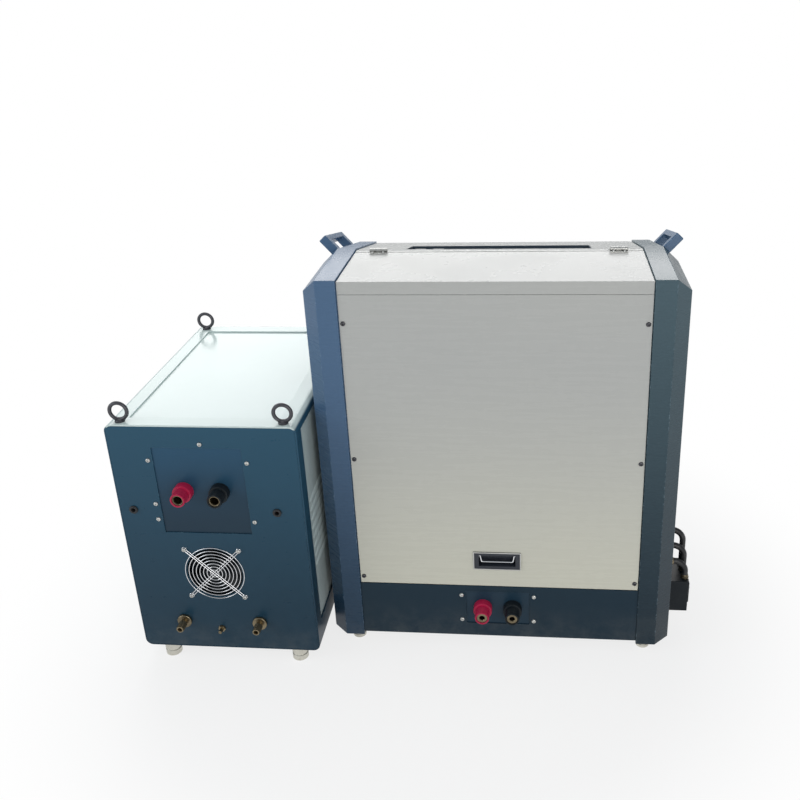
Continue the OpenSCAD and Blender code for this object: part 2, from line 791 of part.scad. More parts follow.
module fan_housings() color("dimgray") fan_places() difference() {
    union() {
        difference() {
            block([-fan_size / 2, sheet_t, -fan_size / 2], [fan_size / 2, sheet_t + fan_t, fan_size / 2]);
            rod_y(0, 0, 0, sheet_t + fan_t + over, fan_bore);
        }
        rod_y(0, 0, sheet_t + fan_t - motor_l, sheet_t + fan_t, motor_r);
        rod_y(0, 0, fan_t / 2, sheet_t + fan_t, shaft_r);
        for (a = [45:90:315]) rotate([0, a, 0])
            block([motor_r / 2, sheet_t + fan_t - motor_l / 2, -strut_w / 2],
                [fan_bore + fan_clear / 2, sheet_t + fan_t, strut_w / 2]);
    }
    for (x = [-1, 1], z = [-1, 1])
        rod_y(x * fan_pitch / 2, z * fan_pitch / 2, 0, sheet_t + fan_t + over, screw_r + fit);
}

module fan_rotor() difference() {
    union() {
        rod_y(0, 0, 2 * sheet_t, sheet_t + fan_t - motor_l - motor_gap, hub_r);
        intersection() {
            rod_y(0, 0, 2 * sheet_t, sheet_t + fan_t - motor_l - motor_gap, fan_bore - blade_tip_gap);
            for (i = [0:blades - 1]) rotate([0, i * 360 / blades, 0])
                translate([0, sheet_t + fan_t * 0.4, 0])
                rotate([blade_tilt, 0, 0])
                    block([hub_r / 2, -fan_t / 2, -blade_t / 2], [fan_bore, fan_t / 2, blade_t / 2]);
        }
    }
    rod_y(0, 0, fan_t / 2 - motor_gap, fan_t + over, shaft_r + run);
}

module main_fan_rotor() color("slategray") main() to_back() translate([0, recess, fan_z]) fan_rotor();

module station_fan_rotor() color("slategray") station() translate([front_shift, 0, station_fan_z])
    fan_rotor();

// Power electronics on the upright chassis plate
chassis_t = 3;
chassis_side = 30;
chassis_half = half - chassis_side;
chassis_behind = 5;
chassis_y = main_d / 2 + chassis_behind;
chassis_head = 128;
chassis_top = main_h - chassis_head;
chassis_foot = 40;
shelf_x = 170;
shelf_z = 150;
contactor_x = chassis_half;
contactor_w = 58;
contactor_d = 72;
contactor_h = 66;
cold_w = 250;
cold_t = 30;
cold_h = 260;
cold_head = 50;
cold_z = chassis_top - cold_head - cold_h;
tube_r = 5;
tube_pitch = 50;
igbt_w = 106;
igbt_h = 62;
igbt_t = 30;
igbt_x = 63;
igbt_low = 80;
igbt_pitch = 90;
igbt_z = cold_z + igbt_low;
cap_r = 38;
cap_stud_r = 6;
cap_stud_l = 10;
cap_clear = 34;
cap_l = back_y - sheet_t - fan_t - cap_clear - cap_stud_l - chassis_t - chassis_y;
bar_w = 25;
bar_t = 3;
bar_low = 32;
bar_end = 60;
bar_z = cold_z + bar_low;
bar_top = igbt_z + igbt_pitch + bar_end;
board_x = 138;
board_w = 96;
board_h = 190;
board_head = 30;
board_z = chassis_top - board_head - board_h;
board_t = 2;
board_up = 12;
board_post_r = 3;
part_h = 14;
part_shares = [[0.1, 0.1, 0.3], [0.6, 0.15, 0.28], [0.15, 0.5, 0.25], [0.55, 0.6, 0.35]];
choke_x = 140;
choke_w = 140;
choke_d = 60;
choke_h = 130;
choke_ahead = 100;
choke_y = chassis_y - choke_ahead;
choke_leg = 40;
choke_window = 26;
choke_yoke = 24;
choke_turn = 22;

module chassis_plate() main() color("silver") {
    block([-chassis_half, chassis_y, floor_z], [chassis_half, chassis_y + chassis_t, chassis_top]);
    block([-chassis_half, chassis_y, floor_z],
        [chassis_half, chassis_y + chassis_foot, floor_z + chassis_t]);
    block([shelf_x, breaker_y - contactor_d / 2, shelf_z - chassis_t],
        [chassis_half, chassis_y + chassis_t, shelf_z]);
}

module cold_plate() main() color("silver") difference() {
    block([-cold_w / 2, chassis_y - cold_t, cold_z], [cold_w / 2, chassis_y, cold_z + cold_h]);
    for (i = [-2:2]) translate([i * tube_pitch, chassis_y - cold_t / 2, cold_z - over])
        cylinder(h = cold_h + 2 * over, r = tube_r);
}

module igbt_modules() main() color("dimgray") for (x = [-igbt_x, igbt_x], z = [igbt_z, igbt_z + igbt_pitch]) {
    block([x - igbt_w / 2, chassis_y - cold_t - igbt_t, z - igbt_h / 2],
        [x + igbt_w / 2, chassis_y - cold_t, z + igbt_h / 2]);
}

module dc_capacitors() main() color("slategray") for (x = [-1.5:1:1.5], z = [igbt_z, igbt_z + igbt_pitch])
    translate([x * 2.4 * cap_r, 0, z]) {
        rod_y(0, 0, chassis_y + chassis_t, chassis_y + chassis_t + cap_l, cap_r);
        for (u = [-1, 1]) rod_y(u * cap_r / 2, 0, chassis_y + cap_l,
            chassis_y + chassis_t + cap_l + cap_stud_l, cap_stud_r);
    }

module copper_bars() color("peru") {
    main() for (i = [-1, 1]) translate([i * main_socket_share * socket_x, 0, 0]) difference() {
        union() {
            block([-bar_w / 2, skin_y + plate_t + nut_l, main_plate_z - bar_w / 2],
                [bar_w / 2, skin_y + plate_t + nut_l + bar_t, bar_z]);
            block([-bar_w / 2, skin_y + plate_t + nut_l, bar_z],
                [bar_w / 2, chassis_y - cold_t - igbt_t, bar_z + bar_t]);
            block([-bar_w / 2, chassis_y - cold_t - igbt_t - bar_t, bar_z],
                [bar_w / 2, chassis_y - cold_t - igbt_t, bar_top]);
        }
        rod_y(0, main_plate_z, 0, chassis_y / 2, insert_r + fit);
    }
    station() for (i = [-1, 1]) translate([front_shift + i * socket_x, 0, 0]) difference() {
        union() {
            block([-bar_w / 2, sheet_t + plate_t + nut_l, strap_z],
                [bar_w / 2, sheet_t + plate_t + nut_l + bar_t, station_plate_z + bar_w / 2]);
            block([-bar_w / 2, sheet_t + plate_t + nut_l, strap_z], [bar_w / 2, bank_y, strap_z + bar_t]);
            block([-bar_w / 2, bank_y - bar_t, station_floor + bank_h], [bar_w / 2, bank_y, strap_z]);
        }
        rod_y(0, station_plate_z, 0, bank_y / 2, insert_r + fit);
    }
}

module contactor() main() color("dimgray") difference() {
    block([contactor_x - contactor_w, breaker_y - contactor_d / 2, shelf_z],
        [contactor_x, breaker_y + contactor_d / 2, shelf_z + contactor_h]);
    for (i = [-1:1]) block([contactor_x - contactor_w - over, breaker_y + i * cable_pitch - cable_r,
        shelf_z + contactor_h / 2],
        [contactor_x - contactor_w * 0.75, breaker_y + i * cable_pitch + cable_r,
            shelf_z + contactor_h * 0.75]);
}

module control_board() main() color("green") {
    y = chassis_y - board_up;
    block([board_x, y - board_t, board_z], [board_x + board_w, y, board_z + board_h]);
    for (u = [0.08, 0.92], v = [0.05, 0.95]) 
        rod_y(board_x + u * board_w, board_z + v * board_h, y, chassis_y, board_post_r);
    for (s = part_shares)
        block([board_x + s.x * board_w, y - part_h, board_z + s.y * board_h],
            [board_x + (s.x + s.z) * board_w, y, board_z + (s.y + s.z / 2) * board_h]);
}

// Smoothing choke: laminated core and its winding on the base pan
module choke_core() main() color("dimgray") difference() {
    block([-choke_x - choke_w / 2, choke_y - choke_d / 2, floor_z],
        [-choke_x + choke_w / 2, choke_y + choke_d / 2, floor_z + choke_h]);
    for (u = [-1, 1]) translate([-choke_x + u * (choke_leg + choke_window) / 2, 0, 0])
        block([-choke_window / 2, 0, floor_z + choke_yoke],
            [choke_window / 2, chassis_y, floor_z + choke_h - choke_yoke]);
}

module choke_winding() main() color("peru") {
    w = choke_leg / 2 + choke_turn;
    d = choke_d / 2 + choke_turn;
    difference() {
        block([-choke_x - w, choke_y - d, floor_z + choke_yoke + fit],
            [-choke_x + w, choke_y + d, floor_z + choke_h - choke_yoke - fit]);
        block([-choke_x - choke_leg / 2 - fit, choke_y - choke_d / 2 - fit, floor_z],
            [-choke_x + choke_leg / 2 + fit, choke_y + choke_d / 2 + fit, floor_z + choke_h]);
    }
}

// Station case: one folded ring with rounded long edges, windows in its top and sides
case_t = 3;
case_x = station_w / 2;
station_floor = station_foot_h + case_t;
case_flange = 15;
window_end = 30;
top_window = 36;
side_window_low = 84;
window_lap = 8;

module rounded_ring(w, y0, y1) {
    r = edge_r - w;
    x = case_x - edge_r;
    z0 = station_foot_h + edge_r;
    z1 = station_h - edge_r;
    block([w - case_x, y0, z0], [case_x - w, y1, z1]);
    block([-x, y0, z0 - r], [x, y1, z1 + r]);
    for (u = [-x, x], z = [z0, z1]) rod_y(u, z, y0, y1, r);
}

module station_case() station() color("steelblue") difference() {
    rounded_ring(0, 0, station_d);
    rounded_ring(case_t, -over, sheet_t);
    block([case_t + case_flange - case_x, -over, station_floor + case_flange],
        [case_x - case_t - case_flange, station_d + over, station_h - case_t - case_flange]);
    rounded_ring(case_t, 2 * sheet_t, station_d - 2 * sheet_t);
    rounded_ring(case_t, station_d - sheet_t, station_d + over);
    block([top_window - case_x, window_end, station_h - edge_r],
        [case_x - top_window, station_d - window_end, station_h + over]);
    block([-case_x - over, window_end, side_window_low],
        [case_x + over, station_d - window_end, station_h - edge_r - window_lap / 2]);
    eye_places() translate([0, 0, -case_t - over]) cylinder(h = case_t + 2 * over, r = eye_shank_r + fit);
}

module station_panels() station() color("gainsboro") {
    block([top_window - window_lap - case_x, window_end - window_lap, station_h - case_t - sheet_t],
        [case_x - top_window + window_lap, station_d - window_end + window_lap, station_h - case_t]);
    for (m = [0, 1]) mirror([m, 0, 0]) difference() {
        block([case_x - case_t - sheet_t, window_end - window_lap, side_window_low - window_lap],
            [case_x - case_t, station_d - window_end + window_lap, station_h - edge_r]);
        for (i = [0:louvre_count - 1]) translate([case_x, louvre_y, louvre_z + i * louvre_pitch])
            block([-2 * case_t - over, 0, 0], [over, louvre_l, slot_w]);
    }
}

louvre_count = 8;
louvre_y = 47;
louvre_l = 126;
louvre_z = 196;
louvre_pitch = 20;
station_fan_share = 0.397;
station_fan_z = station_fan_share * station_h;
barb_x = 75;
barb_z = 94;
barb_bore_r = 4;
barb_flange_r = 14;
barb_flange_l = 6;
barb_neck_r = 6.5;
barb_tip_r = 8;
barb_l = 30;
barb_rib = 6;
earth_x = -3;
earth_z = 77;
earth_r = 3.5;
earth_l = 14;
grommet_x = 136;
grommet_share = 0.6625;
grommet_z = grommet_share * station_h;
grommet_r = 8;
grommet_l = 4;
grommet_bore = 4;

module barb_places() for (i = [-1, 1]) translate([front_shift + i * barb_x, 0, barb_z]) children();

module grommet_places() for (i = [-1, 1]) translate([front_shift + i * grommet_x, 0, grommet_z]) children();

module station_front() station() color("steelblue") difference() {
    rounded_ring(case_t + fit, 0, sheet_t);
    block([front_shift - station_plate_w / 2, -over, station_plate_z - station_plate_h / 2],
        [front_shift + station_plate_w / 2, sheet_t + over, station_plate_z + station_plate_h / 2]);
    station_plate_screws() screw_hole();
    translate([front_shift, 0, station_fan_z]) fan_opening();
    barb_places() rod_y(0, 0, -over, sheet_t + over, barb_neck_r + fit);
    grommet_places() rod_y(0, 0, -over, sheet_t + over, grommet_r - grommet_l / 2 + fit);
    translate([front_shift + earth_x, 0, earth_z]) rod_y(0, 0, -over, sheet_t + over, earth_r + fit);
}

module hose_barbs() station() color("silver") barb_places() difference() {
    union() {
        rod_y(0, 0, -barb_flange_l, 0, barb_flange_r);
        rod_y(0, 0, -barb_l, 2 * barb_flange_l, barb_neck_r);
        rod_y(0, 0, sheet_t, sheet_t + barb_flange_l, barb_flange_r * 0.85);
        for (i = [1:3]) translate([0, -barb_l + i * barb_rib, 0]) rotate([90, 0, 0])
            cylinder(h = barb_rib, r1 = barb_tip_r, r2 = barb_neck_r);
    }
    rod_y(0, 0, -barb_l - over, 2 * barb_flange_l + over, barb_bore_r);
}

module grommets() station() color("dimgray") grommet_places() difference() {
    union() {
        rod_y(0, 0, -grommet_l, 0, grommet_r);
        rod_y(0, 0, 0, sheet_t, grommet_r - grommet_l / 2);
        rod_y(0, 0, sheet_t, sheet_t + grommet_l / 2, grommet_r);
    }
    rod_y(0, 0, -grommet_l - over, sheet_t + grommet_l, grommet_bore);
}

module earth_stud() station() color("goldenrod") translate([front_shift + earth_x, 0, earth_z]) {
    rod_y(0, 0, -earth_l, sheet_t + grommet_l, earth_r);
    rod_y(0, 0, -grommet_l, 0, 2 * earth_r);
    rod_y(0, 0, sheet_t, sheet_t + grommet_l / 2, 2 * earth_r);
}

// Station back with the output bars through their insulating plate
output_z = 300;
output_x = 45;
output_w = 30;
output_t = 10;
output_hole_r = 5.5;
output_hole_in = 18;

module output_slot(deep)
    block([output_x - output_t / 2 - fit, station_d - deep - over, output_z - output_w / 2 - fit],
    [output_x + output_t / 2 + fit, station_d + over, output_z + output_w / 2 + fit]);

module output_screws() for (x = [-1, 1], z = [-1, 1])
    translate([x * (output_plate_w / 2 + screw_margin), station_d, output_z + z * output_plate_h * 0.38])
        mirror([0, 1, 0]) children();

module station_back() station() color("steelblue") difference() {
    rounded_ring(case_t + fit, station_d - sheet_t, station_d);
    block([-output_plate_w / 2, station_d - sheet_t - over, output_z - output_plate_h / 2],
        [output_plate_w / 2, station_d + over, output_z + output_plate_h / 2]);
    output_screws() screw_hole();
}

module output_busbars() station() color("peru") both_sides() difference() {
    block([output_x - output_t / 2, core_y + core_d / 2 + coil_t, output_z - output_w / 2],
        [output_x + output_t / 2, station_d + output_out, output_z + output_w / 2]);
    translate([0, station_d + output_out - output_hole_in, output_z]) rotate([0, 90, 0])
        cylinder(h = case_x, r = output_hole_r);
}

// Station insides: matching transformer and capacitor bank
core_y = 290;
core_w = 220;
core_d = 70;
core_h = 300;
core_leg = 58;
core_yoke = 60;
coil_t = 18;
bank_y = 130;
bank_d = 90;
bank_h = 110;
can_w = 66;
can_gap = 3.4;
strap_z = 288;

module transformer_core() station() color("dimgray") difference() {
    block([-core_w / 2, core_y - core_d / 2, station_floor],
        [core_w / 2, core_y + core_d / 2, station_floor + core_h]);
    block([core_leg - core_w / 2, 0, station_floor + core_yoke],
        [core_w / 2 - core_leg, station_d, station_floor + core_h - core_yoke]);
}

module transformer_windings() station() color("peru") both_sides() difference() {
    block([core_w / 2 - core_leg - coil_t, core_y - core_d / 2 - coil_t, station_floor + core_yoke + fit],
        [core_w / 2 + coil_t, core_y + core_d / 2 + coil_t, station_floor + core_h - core_yoke - fit]);
    block([core_w / 2 - core_leg - fit, core_y - core_d / 2 - fit, station_floor],
        [core_w / 2 + fit, core_y + core_d / 2 + fit, station_floor + core_h]);
}

module capacitor_bank() station() color("slategray") for (i = [-1.5:1:1.5])
    translate([i * (can_w + can_gap), bank_y, station_floor])
        block([-can_w / 2, -bank_d / 2, 0], [can_w / 2, bank_d / 2, bank_h]);

// Feet and lifting eyes of the station
station_foot_r = 15.5;
station_foot_in = 46;
station_foot_x = case_x - station_foot_in;
station_foot_y = 18;
eye_in = 26;
eye_x = case_x - eye_in;
eye_y = 15;
eye_r = 16;
eye_wire = 3.5;
eye_collar_r = 9;
eye_collar_h = 4;
eye_shank_r = 5;
eye_nut_h = 6;
eye_nut_r = 6.8;

module station_feet() station() color("gainsboro")
    for (x = [-station_foot_x, station_foot_x], y = [station_foot_y, station_d - station_foot_y])
        translate([x, y, 0]) cylinder(h = station_foot_h, r = station_foot_r);

module eye_places() for (x = [-eye_x, eye_x], y = [eye_y, station_d - eye_y]) translate([x, y, station_h])
    children();

module eye_bolts() station() color("silver") eye_places() {
    translate([0, 0, -case_t - eye_nut_h]) cylinder(h = case_t + eye_nut_h + eye_collar_h, r = eye_shank_r);
    cylinder(h = eye_collar_h, r = eye_collar_r);
    translate([0, 0, -case_t - eye_nut_h]) cylinder(h = eye_nut_h, r = eye_nut_r);
    translate([0, 0, eye_collar_h + eye_r]) rotate([90, 0, 0])
        rotate_extrude() translate([eye_r, 0]) circle(r = eye_wire, $fn = 24);
}

// All the pan-head screws of the two cabinets
module panel_screws() color("dimgray") {
    main() panel_screw_places(seam_z) pan_screw(sheet_t + screw_bite);
    main() to_back() panel_screw_places(control_low) pan_screw(sheet_t + screw_bite);
    main() to_back() control_screw_places() pan_screw(sheet_t + screw_bite);
    main() main_plate_screws() pan_screw(sheet_t + plate_t);
    station() station_plate_screws() pan_screw(sheet_t + plate_t);
    station() output_screws() pan_screw(sheet_t + plate_t);
    fan_places() fan_screws();
}

side_frame_left();
side_frame_right();
side_covers();
base_pan();
main_feet();
service_panel();
access_lid();
hinge_leaves();
lid_knuckles();
hinge_pins();
pull_dish();
pull_bail();
top_cover();
top_tray();
carry_handles();
control_panel();
back_panel();
panel_meters();
control_bezels();
start_button();
stop_button();
emergency_stop();
power_knob();
mode_switch();
breaker_body();
breaker_toggle();
jumper_cables();
cable_glands();
chassis_plate();
cold_plate();
igbt_modules();
dc_capacitors();
copper_bars();
contactor();
control_board();
choke_core();
choke_winding();
main_fan_rotor();
socket_plates();
red_sockets();
black_sockets();
socket_inserts();
panel_screws();
fan_guards();
fan_housings();
station_case();
station_front();
station_back();
station_panels();
station_feet();
eye_bolts();
hose_barbs();
grommets();
earth_stud();
station_fan_rotor();
transformer_core();
transformer_windings();
capacitor_bank();
output_busbars();
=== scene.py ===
import json
from math import atan2, cos, pi, radians, sin

import bmesh
import bpy
from mathutils import Matrix, Vector


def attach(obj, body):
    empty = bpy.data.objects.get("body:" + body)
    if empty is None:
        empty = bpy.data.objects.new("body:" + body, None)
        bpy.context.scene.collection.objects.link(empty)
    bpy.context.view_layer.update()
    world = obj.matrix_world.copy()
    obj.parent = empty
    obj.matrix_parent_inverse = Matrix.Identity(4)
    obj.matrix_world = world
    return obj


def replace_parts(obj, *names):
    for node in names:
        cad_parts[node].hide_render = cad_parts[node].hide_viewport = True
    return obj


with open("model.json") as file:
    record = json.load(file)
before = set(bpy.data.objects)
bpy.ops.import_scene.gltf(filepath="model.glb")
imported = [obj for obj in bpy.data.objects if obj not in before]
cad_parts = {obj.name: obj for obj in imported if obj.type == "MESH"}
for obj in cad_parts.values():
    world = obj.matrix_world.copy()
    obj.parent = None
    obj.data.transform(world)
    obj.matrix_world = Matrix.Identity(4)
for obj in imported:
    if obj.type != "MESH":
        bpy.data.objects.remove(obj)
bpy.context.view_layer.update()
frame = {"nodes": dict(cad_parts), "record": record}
MM = 0.001

# Viewpoint, pale floor and soft studio light. The set is seen from a little above its service side,
# with the lens and the frame's shift worked out from the edges of both housings.
pitch, roll, yaw = radians(22.36), radians(-2.027), radians(-6.017)
ahead = Vector((sin(yaw) * cos(pitch), cos(yaw) * cos(pitch), -sin(pitch)))
level = Vector((cos(yaw), -sin(yaw), 0))
above = level.cross(ahead)
right = level * cos(roll) + above * sin(roll)
upright = above * cos(roll) - level * sin(roll)
camera = bpy.data.objects.new("camera", bpy.data.cameras.new("camera"))
camera.matrix_world = Matrix((
    (right.x, upright.x, -ahead.x, 0.236645),
    (right.y, upright.y, -ahead.y, -1.612832),
    (right.z, upright.z, -ahead.z, 1.235740),
    (0, 0, 0, 1)))
camera.data.sensor_width = 36
camera.data.lens = 36 * 895.494 / 800
camera.data.shift_x = (400 - 451.746) / 800
camera.data.shift_y = (346.351 - 400) / 800
camera.data.clip_end = 60
bpy.context.scene.collection.objects.link(camera)
bpy.context.scene.camera = camera
bpy.context.scene.view_settings.view_transform = "Standard"


def lamp(name, at, aim, size, power, colour=(1, 1, 1)):
    """A soft panel of light, size metres wide and high, that faces the point aim."""
    data = bpy.data.lights.new(name, "AREA")
    data.shape, data.energy, data.color = "RECTANGLE", power, colour
    data.size, data.size_y = size
    ob = bpy.data.objects.new(name, data)
    ob.location = at
    ob.rotation_euler = (Vector(aim) - Vector(at)).to_track_quat("-Z", "Y").to_euler()
    bpy.context.scene.collection.objects.link(ob)


lamp("sky_panel", (-0.9, 0.5, 2.7), (-0.3, 0, 0.5), (1.8, 1.8), 15, (1.0, 1.0, 0.98))
lamp("back_panel", (-0.4, 3.4, 2.15), (0, 0, 0.7), (4.8, 1.9), 94, (1.0, 0.99, 0.98))
lamp("front_panel", (1.4, -3.2, 1.5), (0.1, 0, 0.3), (2.2, 2.2), 44, (1.0, 0.98, 0.95))
lamp("left_panel", (-2.9, -1.5, 1.5), (-0.2, 0, 0.3), (1.8, 1.8), 26, (0.92, 0.97, 1.0))


class Shade:
    """One output of a material's nodes; sums written on it add their Math nodes."""

    def __init__(self, tree, socket):
        self.tree, self.socket = tree, socket

    def node(self, kind, inputs, out=0, stops=None, **settings):
        made = self.tree.nodes.new("ShaderNode" + kind)
        for key, value in settings.items():
            setattr(made, key, value)
        if stops:
            ramp = made.color_ramp.elements
            ramp[0].position, ramp[0].color = stops[0][0], (*stops[0][1], 1)
            ramp[1].position, ramp[1].color = stops[-1][0], (*stops[-1][1], 1)
            for at, colour in stops[1:-1]:
                ramp.new(at).color = (*colour, 1)
        for key, value in inputs.items():
            if isinstance(value, Shade):
                self.tree.links.new(value.socket, made.inputs[key])
            else:
                made.inputs[key].default_value = value
        return Shade(self.tree, made.outputs[out])

    def math(self, operation, a, b=0.0, clamp=False):
        return self.node("Math", {0: a, 1: b}, operation=operation, use_clamp=clamp)

    def __add__(self, other): return self.math("ADD", self, other)
    def __radd__(self, other): return self.math("ADD", other, self)
    def __sub__(self, other): return self.math("SUBTRACT", self, other)
    def __rsub__(self, other): return self.math("SUBTRACT", other, self)
    def __mul__(self, other): return self.math("MULTIPLY", self, other)
    def __rmul__(self, other): return self.math("MULTIPLY", other, self)
    def __truediv__(self, other): return self.math("DIVIDE", self, other)

    def clamp(self): return self.math("ADD", self, 0.0, True)

    def noise(self, scale, detail=3.0, rough=0.5, stretch=None):
        at = self
        if stretch:
            at = self.node("Mapping", {"Vector": self, "Scale": stretch})
        return self.node("TexNoise", {"Vector": at, "Scale": scale, "Detail": detail, "Roughness": rough})

    def band(self, low, high):
        return self.node("MapRange", {0: self, 1: low, 2: high, 3: 0.0, 4: 1.0},
                         interpolation_type="SMOOTHSTEP")

    def mix(self, a, b):
        a = a if isinstance(a, Shade) else (*a, 1)
        b = b if isinstance(b, Shade) else (*b, 1)
        return self.node("Mix", {0: self, 6: a, 7: b}, out=2, data_type="RGBA")

    def bump(self, strength, distance=0.001):
        return self.node("Bump", {"Height": self, "Strength": strength, "Distance": distance})


def material(name, **fixed):
    """A new material: its shader and its Object coordinates."""
    mat = bpy.data.materials.new(name)
    mat.use_nodes = True
    shader = mat.node_tree.nodes["Principled BSDF"]
    for key, value in fixed.items():
        key = key.replace("_", " ")
        shader.inputs[key].default_value = (*value, 1) if isinstance(value, tuple) else value
    coords = mat.node_tree.nodes.new("ShaderNodeTexCoord")
    at = Shade(mat.node_tree, coords.outputs["Object"])
    return mat, shader, at


def feed(mat, shader, **links):
    for key, value in links.items():
        mat.node_tree.links.new(value.socket, shader.inputs[key.replace("_", " ")])
    return mat


# Floor and backdrop: one pale sheet under both housings, and a plain sky. The camera sees the sheet
# nearly white, gloss a little less so. The camera and glass see a white sky, and the object's light comes
# from a greyer one.
floor_mat, floor_shader, floor_at = material("studio_floor", Roughness=0.9, Base_Color=(0.86, 0.86, 0.86))
floor_tree = floor_mat.node_tree
path = floor_tree.nodes.new("ShaderNodeLightPath")
camera_ray = Shade(floor_tree, path.outputs["Is Camera Ray"])
seen = (camera_ray + Shade(floor_tree, path.outputs["Is Glossy Ray"]) * 0.7).clamp()
white = Shade(floor_tree, floor_tree.nodes.new("ShaderNodeEmission").outputs[0])
white.socket.node.inputs["Color"].default_value = (1, 1, 1, 1)
distance = floor_at.node("VectorMath", {0: floor_at}, out="Value", operation="LENGTH")
fade = distance.band(0.55, 0.95)
plain = Shade(floor_tree, floor_shader.outputs[0])
glow = floor_at.node("MixShader", {0: (seen * (fade * 0.22 + 0.78)).clamp(), 1: plain, 2: white})
floor_tree.links.new(glow.socket, floor_tree.nodes["Material Output"].inputs["Surface"])
bm = bmesh.new()
bmesh.ops.create_grid(bm, x_segments=1, y_segments=1, size=14)
floor_mesh = bpy.data.meshes.new("studio_floor")
bm.to_mesh(floor_mesh)
bm.free()
floor_mesh.materials.append(floor_mat)
floor = bpy.data.objects.new("studio_floor", floor_mesh)
bpy.context.scene.collection.objects.link(floor)

world = bpy.data.worlds.new("studio")
world.use_nodes = True
bpy.context.scene.world = world
back = world.node_tree.nodes["Background"]
path = world.node_tree.nodes.new("ShaderNodeLightPath")
camera_ray = Shade(world.node_tree, path.outputs["Is Camera Ray"])
seen = camera_ray.math("MAXIMUM", camera_ray, Shade(world.node_tree, path.outputs["Is Transmission Ray"]))
sky_colour = seen.clamp().mix((0.31, 0.33, 0.35), (1.0, 1.0, 1.0))
world.node_tree.links.new(sky_colour.socket, back.inputs["Color"])


# Side frames of the power cabinet: folded steel rings with a bevelled outer edge, sprayed blue-grey.
# Seen close they have the fine peel of sprayed paint, dust low down and paint worn thin on the edges, and
# the paint darkens towards the floor as painted shade.
# M and S give points in mm from the middle of each housing's front edge, on the floor.
def M(x, y, z): return Vector((x + 159, y - 194.5, z)) * MM
def S(x, y, z): return Vector((x - 361, y - 255.5, z)) * MM


def painted(name, colour, low=None, rough=0.4, peel=0.05, dust=0.12, worn=None, shine=0.22, clear=0.66):
    """Sprayed sheet metal. low is the colour near the floor, painted shade (painted light where low is
    paler), and it clears by the height clear, in metres; dust gathers low down too. worn is the paint
    rubbed thin on the edges."""
    mat, shader, at = material(name, Metallic=0.0, Specular_IOR_Level=shine)
    split = at.node("SeparateXYZ", {0: at}, out=2)
    cloud = at.noise(3.1, 2.0)
    fine = at.noise(46.0, 4.0, 0.6)
    # Painted shade: the colour turns to low towards the floor, plus a random tone from cloud.
    shade_and_tone = (1 - split.band(0.02, clear)) * 0.9 + (cloud - 0.5) * 0.14
    base = shade_and_tone.clamp().mix(colour, low or tuple(c * 0.72 for c in colour))
    base = ((fine - 0.5) * 0.07 + 0.035).clamp().mix(base, tuple(min(1, c * 1.25 + 0.02) for c in colour))
    film = ((1 - split.band(0.0, 0.12)) * at.noise(21.0, 5.0, 0.65).band(0.3, 0.8) * dust).clamp()
    base = film.mix(base, (0.42, 0.40, 0.36))
    edge = Shade(mat.node_tree, mat.node_tree.nodes.new("ShaderNodeAttribute").outputs["Fac"])
    edge.socket.node.attribute_name = "edge"
    rubbed = (edge * at.noise(120.0, 3.0, 0.7).band(0.50, 0.68)).clamp()
    base = (rubbed * 0.5).mix(base, worn or tuple(min(1, c * 1.5 + 0.08) for c in colour))
    sweep = at.noise(9.0, 3.0, 0.6, (1, 1, 14)).band(0.35, 0.75)
    gloss = rough + (fine - 0.5) * 0.05 + film * 0.35 + sweep * 0.04
    skin = at.noise(620.0, 2.0, 0.5).bump(peel, 0.0004)
    return feed(mat, shader, Base_Color=base, Roughness=gloss, Normal=skin)


def piece(name, bm, mat, slot, body="machine", crease=32):
    """Makes the bmesh an object that rides on a body. Edges sharper than crease degrees stay sharp."""
    for face in bm.faces:
        face.smooth = True
    for edge in bm.edges:
        edge.smooth = len(edge.link_faces) == 2 and edge.calc_face_angle(0.0) < radians(crease)
    mesh = bpy.data.meshes.new(name)
    bm.to_mesh(mesh)
    bm.free()
    mesh.materials.append(mat)
    ob = bpy.data.objects.new(name, mesh)
    bpy.context.scene.collection.objects.link(ob)
    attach(ob, body)
    return ob


def softened(node, mat, width=0.5, segments=2, body="machine", name=None, keep=28):
    """A copy of a CAD node with its sharp edges rounded by width mm, and the rounded strips marked."""
    bm = bmesh.new()
    bm.from_mesh(frame["nodes"][node].data)
    bmesh.ops.remove_doubles(bm, verts=bm.verts, dist=2e-6)
    bmesh.ops.dissolve_degenerate(bm, dist=1e-6, edges=bm.edges)
    bmesh.ops.dissolve_limit(bm, angle_limit=radians(0.6), verts=bm.verts, edges=bm.edges)
    sharp = [e for e in bm.edges if len(e.link_faces) == 2 and e.calc_face_angle(0.0) > radians(keep)]
    made = bmesh.ops.bevel(bm, geom=sharp, offset=width * MM, offset_type="OFFSET", segments=segments,
                           profile=0.5, affect="EDGES", clamp_overlap=False, material=-1)
    layer = bm.loops.layers.float.new("edge")
    for face in made["faces"]:
        for corner in face.loops:
            corner[layer] = 1.0
    slot = next(s["material_slot"] for s in frame["record"]["subparts"] if s["node"] == node)
    ob = piece(name or node + "_shown", bm, mat, slot, body, 40)
    normals = ob.modifiers.new("even_faces", "WEIGHTED_NORMAL")
    normals.keep_sharp = True
    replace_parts(ob, node)
    return ob


frame_paint = painted("frame_paint", (0.078, 0.145, 0.250), (0.012, 0.036, 0.066), rough=0.26,
                      worn=(0.22, 0.31, 0.42))
softened("side_frame_left", frame_paint, 0.9, 3)
# The right frame has a darker, greener copy of the frame paint whose shade reaches higher: painted shade
# for the less light it gets.
right_frame_painted_shade = painted("frame_paint_painted_shade", (0.072, 0.120, 0.145), (0.003, 0.014, 0.026), rough=0.26,
                       worn=(0.20, 0.28, 0.34), clear=0.95)
softened("side_frame_right", right_frame_painted_shade, 0.9, 3)

